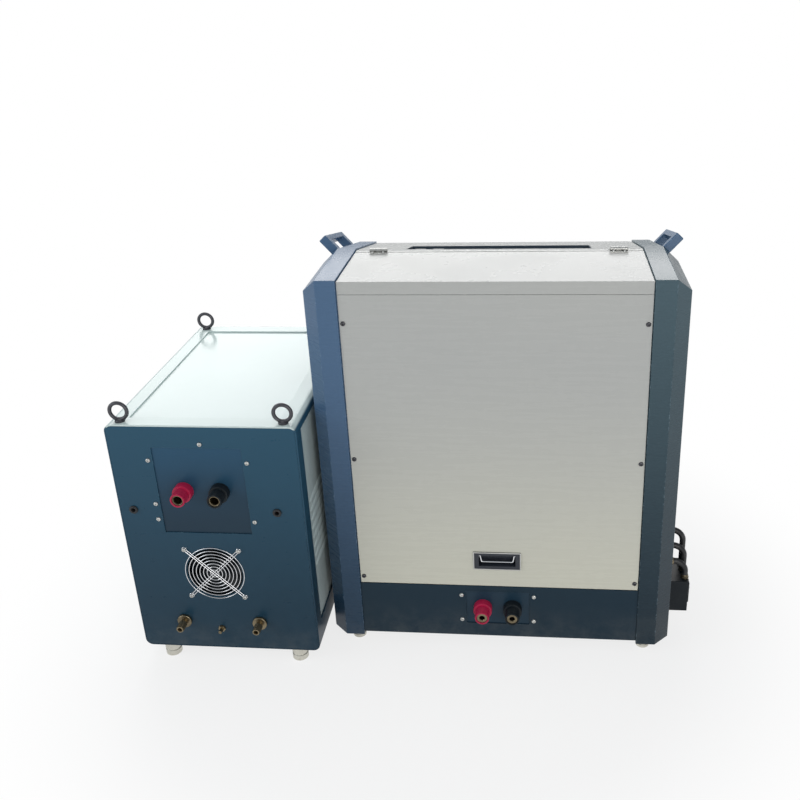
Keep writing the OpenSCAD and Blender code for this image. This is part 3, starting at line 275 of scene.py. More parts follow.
# Side covers: flat plates behind the frames' windows, with pressed cooling louvres whose mouths face down.
# The same sheet and paint as the frames, a little duller from handling.
def louvre_row(places, length, height, depth, side):
    """Pressed hoods on a wall that faces side along X: each is a quarter of a long shell."""
    hood = bmesh.new()
    bmesh.ops.create_uvsphere(hood, u_segments=28, v_segments=14, radius=1)
    bmesh.ops.scale(hood, vec=(depth * MM, length / 2 * MM, height * MM), verts=hood.verts)
    for normal in ((-side, 0, 0), (0, 0, -1)):
        bmesh.ops.bisect_plane(hood, geom=hood.verts[:] + hood.edges[:] + hood.faces[:], dist=1e-7,
                               plane_co=(0, 0, 0), plane_no=normal, clear_outer=True)
    bmesh.ops.recalc_face_normals(hood, faces=hood.faces)
    outwards = sum((f.normal.x * side + f.normal.z) * f.calc_area() for f in hood.faces)
    if outwards < 0:
        bmesh.ops.reverse_faces(hood, faces=hood.faces)
    bmesh.ops.solidify(hood, geom=hood.faces[:], thickness=0.8 * MM)
    shape = bpy.data.meshes.new("louvre_shape")
    hood.to_mesh(shape)
    hood.free()
    row = bmesh.new()
    for place in places:
        start = len(row.verts)
        row.from_mesh(shape)
        row.verts.ensure_lookup_table()
        bmesh.ops.translate(row, vec=place, verts=row.verts[start:])
    return row


cover_x, slot_top, slot_pitch, slot_rows, slot_length = 329.5, 662, 18, 12, 194
# The covers' paint darkens towards the floor as painted shade.
cover_paint = painted("cover_paint", (0.075, 0.125, 0.200), (0.030, 0.055, 0.080), rough=0.45)
softened("side_covers", cover_paint, 0.4)
for side, name in ((1, "right"), (-1, "left")):
    places = [M(side * cover_x, 205, slot_top - slot_pitch * i) for i in range(slot_rows)]
    hoods = louvre_row(places, slot_length, 8, 6.5, side)
    piece("cover_louvres_" + name, hoods, cover_paint, "frame_blue")

# Plinth: the folded steel aprons of the base pan, sprayed a darker blue than the frames and darker still
# towards the floor as painted shade. They are scuffed by shoes and dusty near the floor.
plinth_paint = painted("plinth_paint", (0.009, 0.034, 0.056), (0.006, 0.022, 0.038), rough=0.34, dust=0.12)
softened("base_pan", plinth_paint, 0.5)


# Service panel: a flat steel sheet in satin cream paint between the side frames, with a faint sheen that
# runs across it. Six dark pan-head screws hold it to the frames' landing strips.
# Painted light: the cream paint turns lighter and yellower towards the floor, standing in for light thrown
# up off it.
panel_paint = painted("panel_paint", (0.47, 0.475, 0.46), (0.68, 0.665, 0.55), rough=0.26, peel=0.035,
                      dust=0.05, worn=(0.70, 0.69, 0.65))
softened("service_panel", panel_paint, 0.5)


def turned(bm, profile, at, axis, steps=32):
    """Adds a profile of (radius, height) points in mm, spun about axis with its foot at the point at.
    A profile that ends where it starts makes a ring."""
    shape = bmesh.new()
    loop = profile[0] == profile[-1]
    points = [shape.verts.new((r * MM, 0, h * MM)) for r, h in (profile[:-1] if loop else profile)]
    lines = [shape.edges.new(pair) for pair in zip(points, points[1:])]
    if loop:
        lines.append(shape.edges.new((points[-1], points[0])))
    bmesh.ops.spin(shape, geom=points + lines, angle=2 * pi, steps=steps, use_merge=True,
                   axis=(0, 0, 1), cent=(0, 0, 0), dvec=(0, 0, 0))
    bmesh.ops.remove_doubles(shape, verts=shape.verts, dist=1e-6)
    bmesh.ops.recalc_face_normals(shape, faces=shape.faces)
    turn = Vector((0, 0, 1)).rotation_difference(Vector(axis)).to_matrix().to_4x4()
    bmesh.ops.transform(shape, matrix=Matrix.Translation(at) @ turn, verts=shape.verts)
    mesh = bpy.data.meshes.new("turned")
    shape.to_mesh(mesh)
    shape.free()
    bm.from_mesh(mesh)
    bpy.data.meshes.remove(mesh)


def screw_head(bm, at, axis, r=4.4):
    """A domed head with a round recess, its foot at the point at."""
    profile = [(0, 0.7), (r * 0.36, 0.7), (r * 0.42, 2.3), (r * 0.6, 2.5), (r * 0.86, 1.9), (r, 0.7),
               (r, 0), (0, 0)]
    turned(bm, profile, at, axis, 20)


def metal(name, colour, rough, grain=0.02, scale=400.0, stretch=None, tarnish=None, spots=0.3):
    """Bare or plated metal: fine tooling marks, and patches where it has dulled."""
    mat, shader, at = material(name, Metallic=1.0)
    patch = at.noise(38.0, 4.0, 0.6).band(0.42, 0.75)
    base = (patch * spots).mix(colour, tarnish or tuple(c * 0.6 for c in colour))
    lines = at.noise(scale, 2.0, 0.5, stretch)
    gloss = rough + patch * 0.12 * spots / 0.3 + (lines - 0.5) * 0.1
    return feed(mat, shader, Base_Color=base, Roughness=gloss, Normal=lines.bump(grain, 0.0003))


towards_front, towards_back = (0, -1, 0), (0, 1, 0)
front_y, back_y, screw_x = 3, 407, 260
socket_z, station_socket_z = 95.5, 385.6
main_fan, station_fan, fan_hole = M(0, back_y, 470.4), S(-12, 0, 206.4), 52.5
zinc = metal("zinc_plate", (0.62, 0.62, 0.60), 0.34, spots=0.35)
dark_steel = metal("blackened_steel", (0.10, 0.10, 0.11), 0.42)
heads = bmesh.new()
for x in (-screw_x, screw_x):
    for z in (689, 421.9, 162.3):
        screw_head(heads, M(x, front_y, z), towards_front)
    for z in (681, 589, 536.8, 344.6, 157.7):
        screw_head(heads, M(x, back_y, z), towards_back)
piece("panel_screw_heads", heads, dark_steel, "zinc_steel")
heads = bmesh.new()
for x in (-70, 70):
    for z in (-28.9, 28.9):
        screw_head(heads, M(x, front_y, socket_z + z), towards_front)
for u, v in ((-1, 0.71), (1, 0.68), (-1, -0.31), (-1, -0.68), (1, -0.7), (0.1, 1.09)):
    screw_head(heads, S(-12 + u * 91.5, 0, station_socket_z + v * 89.5), towards_front)
for x in (-103.5, 103.5):
    for z in (-34.2, 34.2):
        screw_head(heads, S(x, 485, 300 + z), towards_back)
for x in (-fan_hole, fan_hole):
    for z in (-fan_hole, fan_hole):
        screw_head(heads, station_fan + Vector((x, -2, z)) * MM, towards_front)
        screw_head(heads, main_fan + Vector((x, 2, z)) * MM, towards_back)
bright_heads = piece("bright_screw_heads", heads, zinc, "zinc_steel")
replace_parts(bright_heads, "panel_screws")

# Access lid: one bent sheet over the flat top, its lip meeting the service panel at the seam.
# It turns on two plated hinges along its far edge, each with three knuckles on a steel pin.
softened("access_lid", panel_paint, 0.6, body="lid")
for node, body in (("hinge_leaves", "machine"), ("hinge_pins", "machine"), ("lid_knuckles", "lid")):
    softened(node, zinc, 0.25, body=body)
for body, y in (("machine", 188.8), ("lid", 170.7)):
    heads = bmesh.new()
    for x in (-232, -212, 212, 232):
        screw_head(heads, M(x, y, 766.5), (0, 0, 1), 2.3)
    piece("hinge_screws_" + body, heads, zinc, "zinc_steel", body)

# Flush pull: a black moulded dish with a ribbed back, a plated frame round it and a bright wire bail
# whose flattened ends sit in the dish's side walls. The bail hangs in the dish and swings out.
def moulded(name, colour, rough=0.45, grain=0.25, scale=900.0, shine=0.5):
    """Moulded plastic with a fine eroded grain and the dust that grain holds."""
    mat, shader, at = material(name, Metallic=0.0, Specular_IOR_Level=shine)
    pits = at.noise(scale, 2.0, 0.6)
    smear = at.noise(17.0, 4.0, 0.6)
    dusty = at.noise(60.0, 4.0, 0.7).band(0.5, 0.8)
    base = (dusty * 0.04).mix(colour, (0.35, 0.34, 0.32))
    base = ((smear - 0.5) * 0.3 + 0.1).clamp().mix(base, tuple(min(1, c * 1.3 + 0.01) for c in colour))
    gloss = rough + (smear - 0.5) * 0.15 + dusty * 0.1
    return feed(mat, shader, Base_Color=base, Roughness=gloss, Normal=pits.bump(grain * 0.2, 0.0003))


dish_plastic = moulded("dish_plastic", (0.018, 0.022, 0.032), 0.4)
chrome = metal("bright_chrome", (0.80, 0.81, 0.83), 0.09, 0.01, spots=0.12)
softened("pull_dish", dish_plastic, 0.3)


def box_ring(bm, at, outer, inner, depth):
    """A flat upright rectangular frame, its back at the point at, depth mm thick towards the front."""
    loops = []
    for size in (outer, inner):
        made = bmesh.ops.create_grid(bm, x_segments=1, y_segments=1, size=0.5)
        bmesh.ops.scale(bm, vec=(size[0] * MM, size[1] * MM, 1), verts=made["verts"])
        stand = Matrix.Rotation(radians(90), 3, "X")
        bmesh.ops.rotate(bm, cent=(0, 0, 0), matrix=stand, verts=made["verts"])
        bmesh.ops.translate(bm, vec=at, verts=made["verts"])
        loops += {edge for vert in made["verts"] for edge in vert.link_edges}
        bmesh.ops.delete(bm, geom=made["verts"][0].link_faces[:], context="FACES_ONLY")
    walls = bmesh.ops.bridge_loops(bm, edges=loops)["faces"]
    front = bmesh.ops.extrude_face_region(bm, geom=walls)["geom"]
    moved = [v for v in front if isinstance(v, bmesh.types.BMVert)]
    bmesh.ops.translate(bm, vec=(0, -depth * MM, 0), verts=moved)


pull_z = 206
ring = bmesh.new()
box_ring(ring, M(0, 1.5, pull_z), (91, 39), (87, 35.2), 1.1)
bmesh.ops.recalc_face_normals(ring, faces=ring.faces)
sharp = [e for e in ring.edges if e.calc_face_angle(0.0) > radians(40)]
bmesh.ops.bevel(ring, geom=sharp, offset=0.45 * MM, segments=2, profile=0.5, affect="EDGES",
                material=-1)
piece("pull_frame", ring, zinc, "bright_chrome")
ribs = bmesh.new()
for i in range(15):
    made = bmesh.ops.create_cube(ribs, size=1)
    bmesh.ops.scale(ribs, vec=(1.6 * MM, 0.9 * MM, 21 * MM), verts=made["verts"])
    bmesh.ops.translate(ribs, vec=M(-31.5 + 4.5 * i, 15.6, pull_z), verts=made["verts"])
bmesh.ops.bevel(ribs, geom=ribs.edges[:], offset=0.3 * MM, segments=1, profile=0.5, affect="EDGES",
                material=-1)
piece("pull_ribs", ribs, dish_plastic, "dish_black")


def tube(name, runs, radius, mat, slot, body="machine", smooth=False, sides=12):
    """Round wire or hose along one or more runs of points, made a mesh."""
    curve = bpy.data.curves.new(name, "CURVE")
    curve.dimensions = "3D"
    curve.bevel_depth = radius * MM
    curve.bevel_resolution = max(1, sides // 4 - 1)
    curve.use_fill_caps = True
    for points in runs:
        spline = curve.splines.new("NURBS" if smooth else "POLY")
        closed = points[0] == points[-1]
        points = points[:-1] if closed else points
        spline.points.add(len(points) - 1)
        for target, p in zip(spline.points, points):
            target.co = (*p, 1)
        spline.use_cyclic_u = closed
        if smooth:
            spline.order_u = 3
            spline.use_endpoint_u = not closed
            spline.resolution_u = 6
    holder = bpy.data.objects.new(name + "_path", curve)
    bpy.context.scene.collection.objects.link(holder)
    bpy.context.view_layer.update()
    shape = bpy.data.meshes.new_from_object(holder.evaluated_get(bpy.context.evaluated_depsgraph_get()))
    bpy.data.objects.remove(holder)
    bm = bmesh.new()
    bm.from_mesh(shape)
    bmesh.ops.remove_doubles(bm, verts=bm.verts, dist=1e-6)
    bmesh.ops.recalc_face_normals(bm, faces=bm.faces)
    return piece(name, bm, mat, slot, body, 50)


def arc(centre, r, a0, a1, u, v, steps=8):
    """Points on an arc of radius r mm, from a0 to a1 degrees, in the plane of u and v."""
    return [centre + (Vector(u) * cos(radians(a)) + Vector(v) * sin(radians(a))) * r * MM
            for a in (a0 + (a1 - a0) * i / steps for i in range(steps + 1))]


pivot_z = pull_z + 8.4
bail = [M(36.4, 9.5, pivot_z), M(33.8, 9.5, pivot_z), M(33, 9.5, pivot_z - 0.8),
        M(30.6, 9.2, pivot_z - 13.4), M(29.6, 9.05, pivot_z - 14.7), M(27.6, 9.05, pivot_z - 15)]
bail += [Vector((2 * M(0, 0, 0).x - p.x, p.y, p.z)) for p in reversed(bail)]
bail_piece = tube("pull_bail_wire", [bail], 1.8, chrome, "bright_chrome", "bail")
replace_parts(bail_piece, "pull_bail")
cheeks = bmesh.new()
for side in (-1, 1):
    boss = [(0, 1.4), (2.6, 1.2), (3.6, 0.5), (3.6, 0), (0, 0)]
    turned(cheeks, boss, M(side * 34.9, 9.5, pivot_z), (-side, 0, 0), 20)
piece("bail_bosses", cheeks, chrome, "bright_chrome")

# Top cover and its tray: a cream sheet bent over the ridge, and a shallow slate-coloured trough sunk in it.
# Two small pale tabs are spot-welded to the trough's near wall.
softened("top_cover", panel_paint, 0.5)
tray_paint = painted("tray_paint", (0.040, 0.060, 0.085), (0.030, 0.045, 0.065), rough=0.42, dust=0.0)
softened("top_tray", tray_paint, 0.5)
far_slope = Matrix.Rotation(-atan2(47, 215.25), 3, "X")
tabs = bmesh.new()
for x in (-147, -113):
    made = bmesh.ops.create_cube(tabs, size=1)
    bmesh.ops.scale(tabs, vec=(20 * MM, 9 * MM, 2 * MM), verts=made["verts"])
    bmesh.ops.rotate(tabs, cent=(0, 0, 0), matrix=far_slope, verts=made["verts"])
    bmesh.ops.translate(tabs, vec=M(x, 213, 760), verts=made["verts"])
bmesh.ops.bevel(tabs, geom=tabs.edges[:], offset=0.4 * MM, segments=2, profile=0.5, affect="EDGES",
                material=-1)
piece("tray_tabs", tabs, panel_paint, "panel_cream")

# Carrying handles: flat steel loops that stand square on the bevel beside the sloped top, welded at both
# feet and sprayed with the frames.
softened("carry_handles", frame_paint, 2.2, 3)

# Insulating plates: dark laminated sheet behind the windows of both fronts and round the output bars.
# The cloth weave inside the laminate shows faintly through its gloss.
sheet_mat, sheet_shader, sheet_at = material("laminated_sheet", Specular_IOR_Level=0.25)
sheet_split = sheet_at.node("SeparateXYZ", {0: sheet_at}, out=2)
# Painted shade and light: the sheet is darker below 0.30 m and lighter above 0.50 m.
sheet_painted_shade = sheet_split.band(0.30, 0.50)
sheet_wave = sheet_at.noise(6.0, 3.0)
sheet_base = sheet_painted_shade.mix((0.008, 0.030, 0.056), (0.020, 0.085, 0.160))
sheet_base = (sheet_wave * 0.4).clamp().mix(sheet_base, (0.022, 0.045, 0.062))
weave = sheet_at.noise(700.0, 1.0, 0.5, (1, 1, 0.12)) + sheet_at.noise(700.0, 1.0, 0.5, (0.12, 1, 1))
feed(sheet_mat, sheet_shader, Base_Color=sheet_base, Roughness=0.26 + sheet_wave * 0.18,
     Normal=weave.bump(0.03, 0.0003))
softened("socket_plates", sheet_mat, 0.4)

# Output sockets: turned brass tubes with nuts behind the plate, in moulded insulators with a broad flange
# and a ribbed nose. The red one is on the left of each pair.
red_plastic = moulded("red_plastic", (0.42, 0.012, 0.060), 0.30, 0.15, shine=0.3)
black_plastic = moulded("black_plastic", (0.008, 0.012, 0.016), 0.34, 0.2, shine=0.2)
brass = metal("turned_brass", (0.27, 0.22, 0.14), 0.32, tarnish=(0.11, 0.095, 0.07), spots=0.7)
copper = metal("copper_bar", (0.72, 0.36, 0.22), 0.30, tarnish=(0.36, 0.17, 0.11), spots=0.7)
places = {"red": [M(-28.9, 5, socket_z), S(-46, 2, station_socket_z)],
          "black": [M(28.9, 5, socket_z), S(22, 2, station_socket_z)]}
bores = (5, 8)
for colour, mat in (("red", red_plastic), ("black", black_plastic)):
    bodies = bmesh.new()
    for at in places[colour]:
        ribs = [(14 - 0.5 * (i % 2), 17.5 + i * 1.6) for i in range(11)]
        turned(bodies, [(10.6, 0), (18, 0), (18, 13.6), (17.4, 14.6), (16.4, 15), (14.2, 15)] + ribs +
               [(13.6, 35.2), (13, 36), (11.4, 36), (10.6, 35.2), (10.6, 0)], at, towards_front, 48)
    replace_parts(piece(colour + "_insulators", bodies, mat, colour + "_plastic"), colour + "_sockets")
tubes = bmesh.new()
for colour in places:
    for at, bore in zip(places[colour], bores):
        turned(tubes, [(0, -8), (bore, -8), (bore, 32.8), (bore + 0.9, 34), (9.7, 34), (10.5, 33.2),
                       (10.5, -30), (0, -30)], at, towards_front, 40)
        turned(tubes, [(10.4, -8), (14.2, -8), (15, -8.8), (15, -14.2), (14.2, -15), (10.4, -15),
                       (10.4, -8)], at, towards_front, 6)
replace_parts(piece("socket_tubes", tubes, brass, "brass_metal"), "socket_inserts")

# Feet of the power cabinet: turned metal discs with a groove round them. Each is screwed up into the
# underside of a frame.
foot_metal = metal("foot_metal", (0.74, 0.72, 0.64), 0.36, spots=0.5, tarnish=(0.42, 0.40, 0.36))
feet = bmesh.new()
for x in (-284, 284):
    for y in (28, 382):
        turned(feet, [(0, 0), (11.8, 0), (13, 1.2), (13, 7), (12.2, 7.6), (12.2, 9), (13, 9.6), (13, 21),
                      (12, 22), (0, 22)], M(x, y, 0), (0, 0, 1), 36)
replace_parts(piece("cabinet_feet", feet, foot_metal, "foot_steel"), "main_feet")

# Mains breaker: a black moulded case with a raised middle that holds the toggle. Three clamp screws sit
# above the toggle, one for each cable.
softened("breaker_body", black_plastic, 1.2, 3)
softened("breaker_toggle", moulded("grey_lever", (0.20, 0.21, 0.22), 0.4), 0.6, 2, "toggle")
lead_places = (86, 110, 134)
clamps = bmesh.new()
for y in lead_places:
    for z in (56, 113):
        screw_head(clamps, M(373.7, y, z), (1, 0, 0), 3.4)
piece("clamp_screws", clamps, brass, "brass_metal")

# Jumper cables: three black sheathed leads, one above the other, from the cabinet down into the breaker.
# Each passes a plated gland in the side cover and ends in a crimped ferrule.
sheath, sheath_shader, sheath_at = material("cable_sheath", Roughness=0.42)
sheath_dust = sheath_at.noise(55.0, 4.0, 0.6).band(0.45, 0.8)
feed(sheath, sheath_shader, Base_Color=sheath_dust.mix((0.012, 0.012, 0.014), (0.06, 0.06, 0.06)),
     Normal=sheath_at.noise(900.0, 2.0).bump(0.05, 0.0003))
leads, glands = [], bmesh.new()
bend, breaker_top, sideways, up = 24, 120, (1, 0, 0), (0, 0, 1)
for i, y in enumerate(lead_places):
    top = 158 + 20 * i
    elbow, gland, entry = M(343.5, y, top), M(cover_x, y, top), M(343.5 + bend, y, breaker_top)
    curve = arc(elbow - Vector(up) * bend * MM, bend, 90, 0, sideways, up, 16)
    leads.append([M(238, y, top), elbow] + curve[1:] + [entry])
    turned(glands, [(6.1, 0), (9, 0), (9, 5.4), (8.4, 6), (6.1, 6), (6.1, 0)], gland, sideways, 6)
    turned(glands, [(6.1, 6), (8.2, 6), (8.6, 8), (8.2, 12), (7.2, 14), (6.1, 14), (6.1, 6)],
           gland, sideways, 28)
    turned(glands, [(6.1, -4.5), (9, -4.5), (9, -2), (6.1, -2), (6.1, -4.5)], gland, sideways, 6)
    turned(glands, [(6.1, 0), (8, 0), (8, 2.2), (7, 3), (7, 6.6), (6.1, 8), (6.1, 0)], entry, up, 28)
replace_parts(tube("jumper_leads", leads, 6, sheath, "cable_black", sides=20), "jumper_cables")
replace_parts(piece("lead_glands", glands, brass, "brass_metal"), "cable_glands")

# Control panel, at the top of the back: a flat steel sheet in the cream paint, held by screws, with the
# meters and the controls let into it.
softened("control_panel", panel_paint, 0.6)


meter_places = (150, 38)
start_x, stop_x, knob_x, mode_x, emergency_x = -60, -105, -150, -195, -235
to_panel = Matrix.Rotation(radians(-90), 4, "X")


def control(x, down=0.0, out=0.0):
    """A point on the control panel: x across, down from its middle, out of its face, in mm."""
    return M(x, back_y + out, 635 - down)


def plate_on(bm, centre, size, lift, round_by=0.0, steps=2):
    """A block on the control panel, its foot at lift mm, with its edges rounded."""
    part = bmesh.new()
    bmesh.ops.create_cube(part, size=1)
    bmesh.ops.scale(part, vec=[v * MM for v in size], verts=part.verts)
    bmesh.ops.translate(part, vec=(0, 0, size[2] / 2 * MM), verts=part.verts)
    if round_by:
        bmesh.ops.bevel(part, geom=part.edges[:], offset=round_by * MM, segments=steps, profile=0.5,
                        affect="EDGES", material=-1)
    place = Matrix.Translation(control(*centre, lift)) @ to_panel
    bmesh.ops.transform(part, matrix=place, verts=part.verts)
    mesh = bpy.data.meshes.new("part")
    part.to_mesh(mesh)
    part.free()
    bm.from_mesh(mesh)
    bpy.data.meshes.remove(mesh)


# Panel meters: two black moulded frames set in the control panel. Each has a cream dial with a printed
# scale and a thin needle, behind a glass.
softened("panel_meters", black_plastic, 0.5)
dial = moulded("dial_card", (0.74, 0.72, 0.66), 0.6, 0.02)
ink = moulded("dial_ink", (0.02, 0.02, 0.022), 0.5, 0.02)
glass, glass_shader, glass_at = material("meter_glass", Roughness=0.04, IOR=1.45, Alpha=0.16)
feed(glass, glass_shader, Base_Color=glass_at.noise(30.0, 3.0).mix((0.80, 0.86, 0.88), (0.92, 0.95, 0.96)))
cards, marks, panes = bmesh.new(), bmesh.new(), bmesh.new()
for x in meter_places:
    plate_on(cards, (x, 0), (83, 35, 0.4), 2.05, 0.1, 1)
    plate_on(panes, (x, 0), (83.6, 35.6, 0.5), 3.2, 0.1, 1)
    for i in range(11):
        a = radians(140 - i * 10)
        long = 5 if i % 5 == 0 else 3
        bar = bmesh.new()
        bmesh.ops.create_cube(bar, size=1)
        bmesh.ops.scale(bar, vec=(long * MM, 0.6 * MM, 0.12 * MM), verts=bar.verts)
        bmesh.ops.bevel(bar, geom=bar.edges[:], offset=0.04 * MM, segments=1, profile=0.5, affect="EDGES",
                        material=-1)
        place = Matrix.Translation(control(x + 33 * cos(a), 24 - 29 * sin(a), 2.5)) @ to_panel
        bmesh.ops.transform(bar, matrix=place @ Matrix.Rotation(-a, 4, "Z"), verts=bar.verts)
        shape = bpy.data.meshes.new("bar")
        bar.to_mesh(shape)
        marks.from_mesh(shape)
        bar.free()
    plate_on(marks, (x - 10, 4), (0.7, 24, 0.2), 2.6, 0.05, 1)
    turned(marks, [(0, 0.5), (3, 0.5), (3.4, 0.2), (3.4, 0), (0, 0)], control(x, 15, 2.5), towards_back, 20)
piece("meter_cards", cards, dial, "panel_cream")
piece("meter_marks", marks, ink, "black_plastic")
piece("meter_glasses", panes, glass, "bright_chrome")

# Push-buttons, emergency stop, power knob and mode switch, each in a plated bezel clamped by a round nut.
# The buttons are domed caps, the stop is a ribbed mushroom and the knob has a fluted skirt.
softened("control_bezels", chrome, 0.4)
green_plastic = moulded("green_plastic", (0.010, 0.25, 0.055), 0.30, 0.1)
for name, node, x, mat, slot in (("start", "start_button", start_x, green_plastic, "green_plastic"),
                                 ("stop", "stop_button", stop_x, red_plastic, "red_plastic")):
    cap = bmesh.new()
    dome = [(0, -14), (8, -14), (8, 5.4), (7.5, 6.4), (6, 6.9), (3, 7), (0, 7)]
    turned(cap, dome, control(x), towards_back, 40)
    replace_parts(piece(name + "_cap", cap, mat, slot, name), node)
mushroom = bmesh.new()
turned(mushroom, [(0, -14), (8, -14), (8, 9.4), (17, 9.4), (18, 10.6), (18, 13.5), (17, 15.8), (14.5, 17.2),
                  (10, 17.8), (0, 18)], control(emergency_x), towards_back, 56)
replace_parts(piece("emergency_cap", mushroom, red_plastic, "red_plastic", "estop"), "emergency_stop")
knob = bmesh.new()
turned(knob, [(0, -14), (8, -14), (8, 4.1), (15.6, 4.1), (16, 4.8), (15.2, 6.5), (14.2, 16.6), (13.4, 17.8),
              (12.6, 18), (0, 17.2)], control(knob_x), towards_back, 60)
for vert in knob.verts:
    offset = vert.co - control(knob_x)
    height = offset.dot(Vector(towards_back))
    flat = offset - Vector(towards_back) * height
    if 5.5 * MM < height < 17.5 * MM and flat.length > 13 * MM:
        phase = atan2(flat.x, (to_panel.inverted() @ flat).y) * 12
        vert.co -= flat.normalized() * 0.5 * MM * (1 + cos(phase))
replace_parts(piece("power_knob_cap", knob, black_plastic, "black_plastic", "knob"), "power_knob")
pointer = bmesh.new()
plate_on(pointer, (knob_x, -8.8), (1.6, 8, 0.5), 17.4, 0.15, 1)
piece("power_knob_line", pointer, dial, "panel_cream", "knob")
switch = bmesh.new()
turned(switch, [(0, -14), (8, -14), (8, 4.1), (12.4, 4.1), (12.8, 5), (12.4, 8.2), (11.6, 8.8), (0, 8.8)],
       control(mode_x), towards_back, 48)
plate_on(switch, (mode_x, 0), (7, 25.6, 10.4), 7.6, 1.6, 3)
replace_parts(piece("mode_switch_cap", switch, black_plastic, "black_plastic", "selector"), "mode_switch")
pointer = bmesh.new()
plate_on(pointer, (mode_x, -8.5), (1.6, 7, 0.4), 17.75, 0.12, 1)
piece("mode_switch_line", pointer, dial, "panel_cream", "selector")
marks = bmesh.new()
for i in range(11):
    a = radians(-150 + 30 * i)
    plate_on(marks, (knob_x + 20.5 * sin(a), -20.5 * cos(a)), (1.2, 1.2, 0.25), -0.05, 0.05, 1)
for x in (-14.5, 14.5):
    plate_on(marks, (mode_x + x, -14.5), (2.4, 2.4, 0.25), -0.05, 0.05, 1)
piece("control_marks", marks, ink, "black_plastic")


# Back panel: a flat steel sheet in the same cream paint, with slots pressed through it under the cooling
# fan. Dark pan-head screws hold it.
softened("back_panel", panel_paint, 0.5)


# Cooling fans: black moulded housings with struts to the motor, screwed on behind their openings. The
# rotors are moulded too, with seven swept, curved blades on a round hub.
softened("fan_housings", black_plastic, 0.6)


def fan_rotor(name, node, at, facing, body):
    """A rotor on the point at, in the fan's mouth, which faces the direction facing along Y."""
    blades, hub_radius, reach = 7, 19, 35.5
    hub = bmesh.new()
    turned(hub, [(4.1, -28), (19, -28), (20, -27), (20, -6), (18.5, -4.3), (0, -4.1), (0, -17), (4.1, -17),
                 (4.1, -28)], at, (0, facing, 0), 48)
    for i in range(blades):
        blade = bmesh.new()
        bmesh.ops.create_grid(blade, x_segments=10, y_segments=8, size=0.5)
        for vert in blade.verts:
            r = hub_radius + (vert.co.x + 0.5) * reach
            v = vert.co.y + 0.5
            sweep = 8 + (v - 0.5) * 50 * (30 / r) ** 0.35 + (r - hub_radius) * 0.35
            a = 2 * pi * i / blades + radians(sweep)
            depth = -6 - v * 19 - 3 * sin(pi * v)
            vert.co = Vector((r * cos(a), depth * facing, r * sin(a))) * MM + at
        bmesh.ops.recalc_face_normals(blade, faces=blade.faces)
        bmesh.ops.solidify(blade, geom=blade.faces[:], thickness=1.6 * MM)
        shape = bpy.data.meshes.new("blade")
        blade.to_mesh(shape)
        blade.free()
        hub.from_mesh(shape)
    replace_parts(piece(name, hub, black_plastic, "grey_plastic", body, 45), node)


fan_rotor("main_rotor_blades", "main_fan_rotor", main_fan, 1, "main_rotor")
fan_rotor("station_rotor_blades", "station_fan_rotor", station_fan, -1, "station_rotor")

# Fan guards: round chromed wire rings welded on pairs of straight wires. The wires end in flat eyelets for
# the fan's four screws.
for name, at, facing in (("main_guard", main_fan, 1), ("station_guard", station_fan, -1)):
    middle = at + Vector((0, 0.9 * facing * MM, 0))
    rings = [arc(middle, r, 0, 360, sideways, up, 56) for r in range(8, 58, 7)]
    for ring in rings:
        ring[-1] = ring[0]
    for a in (45, 135):
        u = Vector((cos(radians(a)), 0, sin(radians(a))))
        v = Vector((-u.z, 0, u.x)) * 2.2 * MM
        for side in (-1, 1):
            start = at + v * side + Vector((0, 1.35 * facing * MM, 0))
            rings.append([start + u * r * MM for r in (-70, 70)])
    wires = tube(name + "_wires", rings, 0.85, chrome, "bright_chrome", sides=12)
    ears = bmesh.new()
    for x in (-fan_hole, fan_hole):
        for z in (-fan_hole, fan_hole):
            turned(ears, [(2.2, 0), (5, 0), (5, 1.5), (4.6, 1.9), (2.2, 1.9), (2.2, 0)],
                   at + Vector((x, 0, z)) * MM, (0, facing, 0), 28)
    piece(name + "_ears", ears, chrome, "bright_chrome")
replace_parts(wires, "fan_guards")

# Power electronics: the chassis plate is folded zinc-plated steel, and the aluminium plate on it is cooled
# by water, whose copper pipe ends are pressed into its edges.
softened("chassis_plate", zinc, 0.4)
aluminium = metal("aluminium", (0.70, 0.71, 0.72), 0.38, 0.03, stretch=(0.1, 1, 1))
softened("cold_plate", aluminium, 0.8)
pipes, pipe_pitch = bmesh.new(), 50
for i in range(-2, 3):
    for z, end in ((330, -1), (590, 1)):
        turned(pipes, [(3.6, -12), (4.9, -12), (4.9, 13), (4.5, 14), (3.9, 14), (3.6, 13), (3.6, -12)],
               M(i * pipe_pitch, 195, z), (0, 0, end), 24)
piece("cooling_pipes", pipes, copper, "copper_metal")

# Transistor modules: black moulded blocks with a stepped top. Each has three copper tabs, which take
# plated hexagon bolts.
softened("igbt_modules", black_plastic, 1.5, 3)
bolts, row_heights = bmesh.new(), (410, 500)
for x in (-63, 63):
    for z in row_heights:
        for dx in (-30, 0, 30):
            turned(bolts, [(0, 3.2), (4.2, 3.2), (4.8, 2.6), (4.8, 0), (0, 0)],
                   M(x + dx, 150, z + 12), towards_front, 6)
piece("module_bolts", bolts, zinc, "zinc_steel")

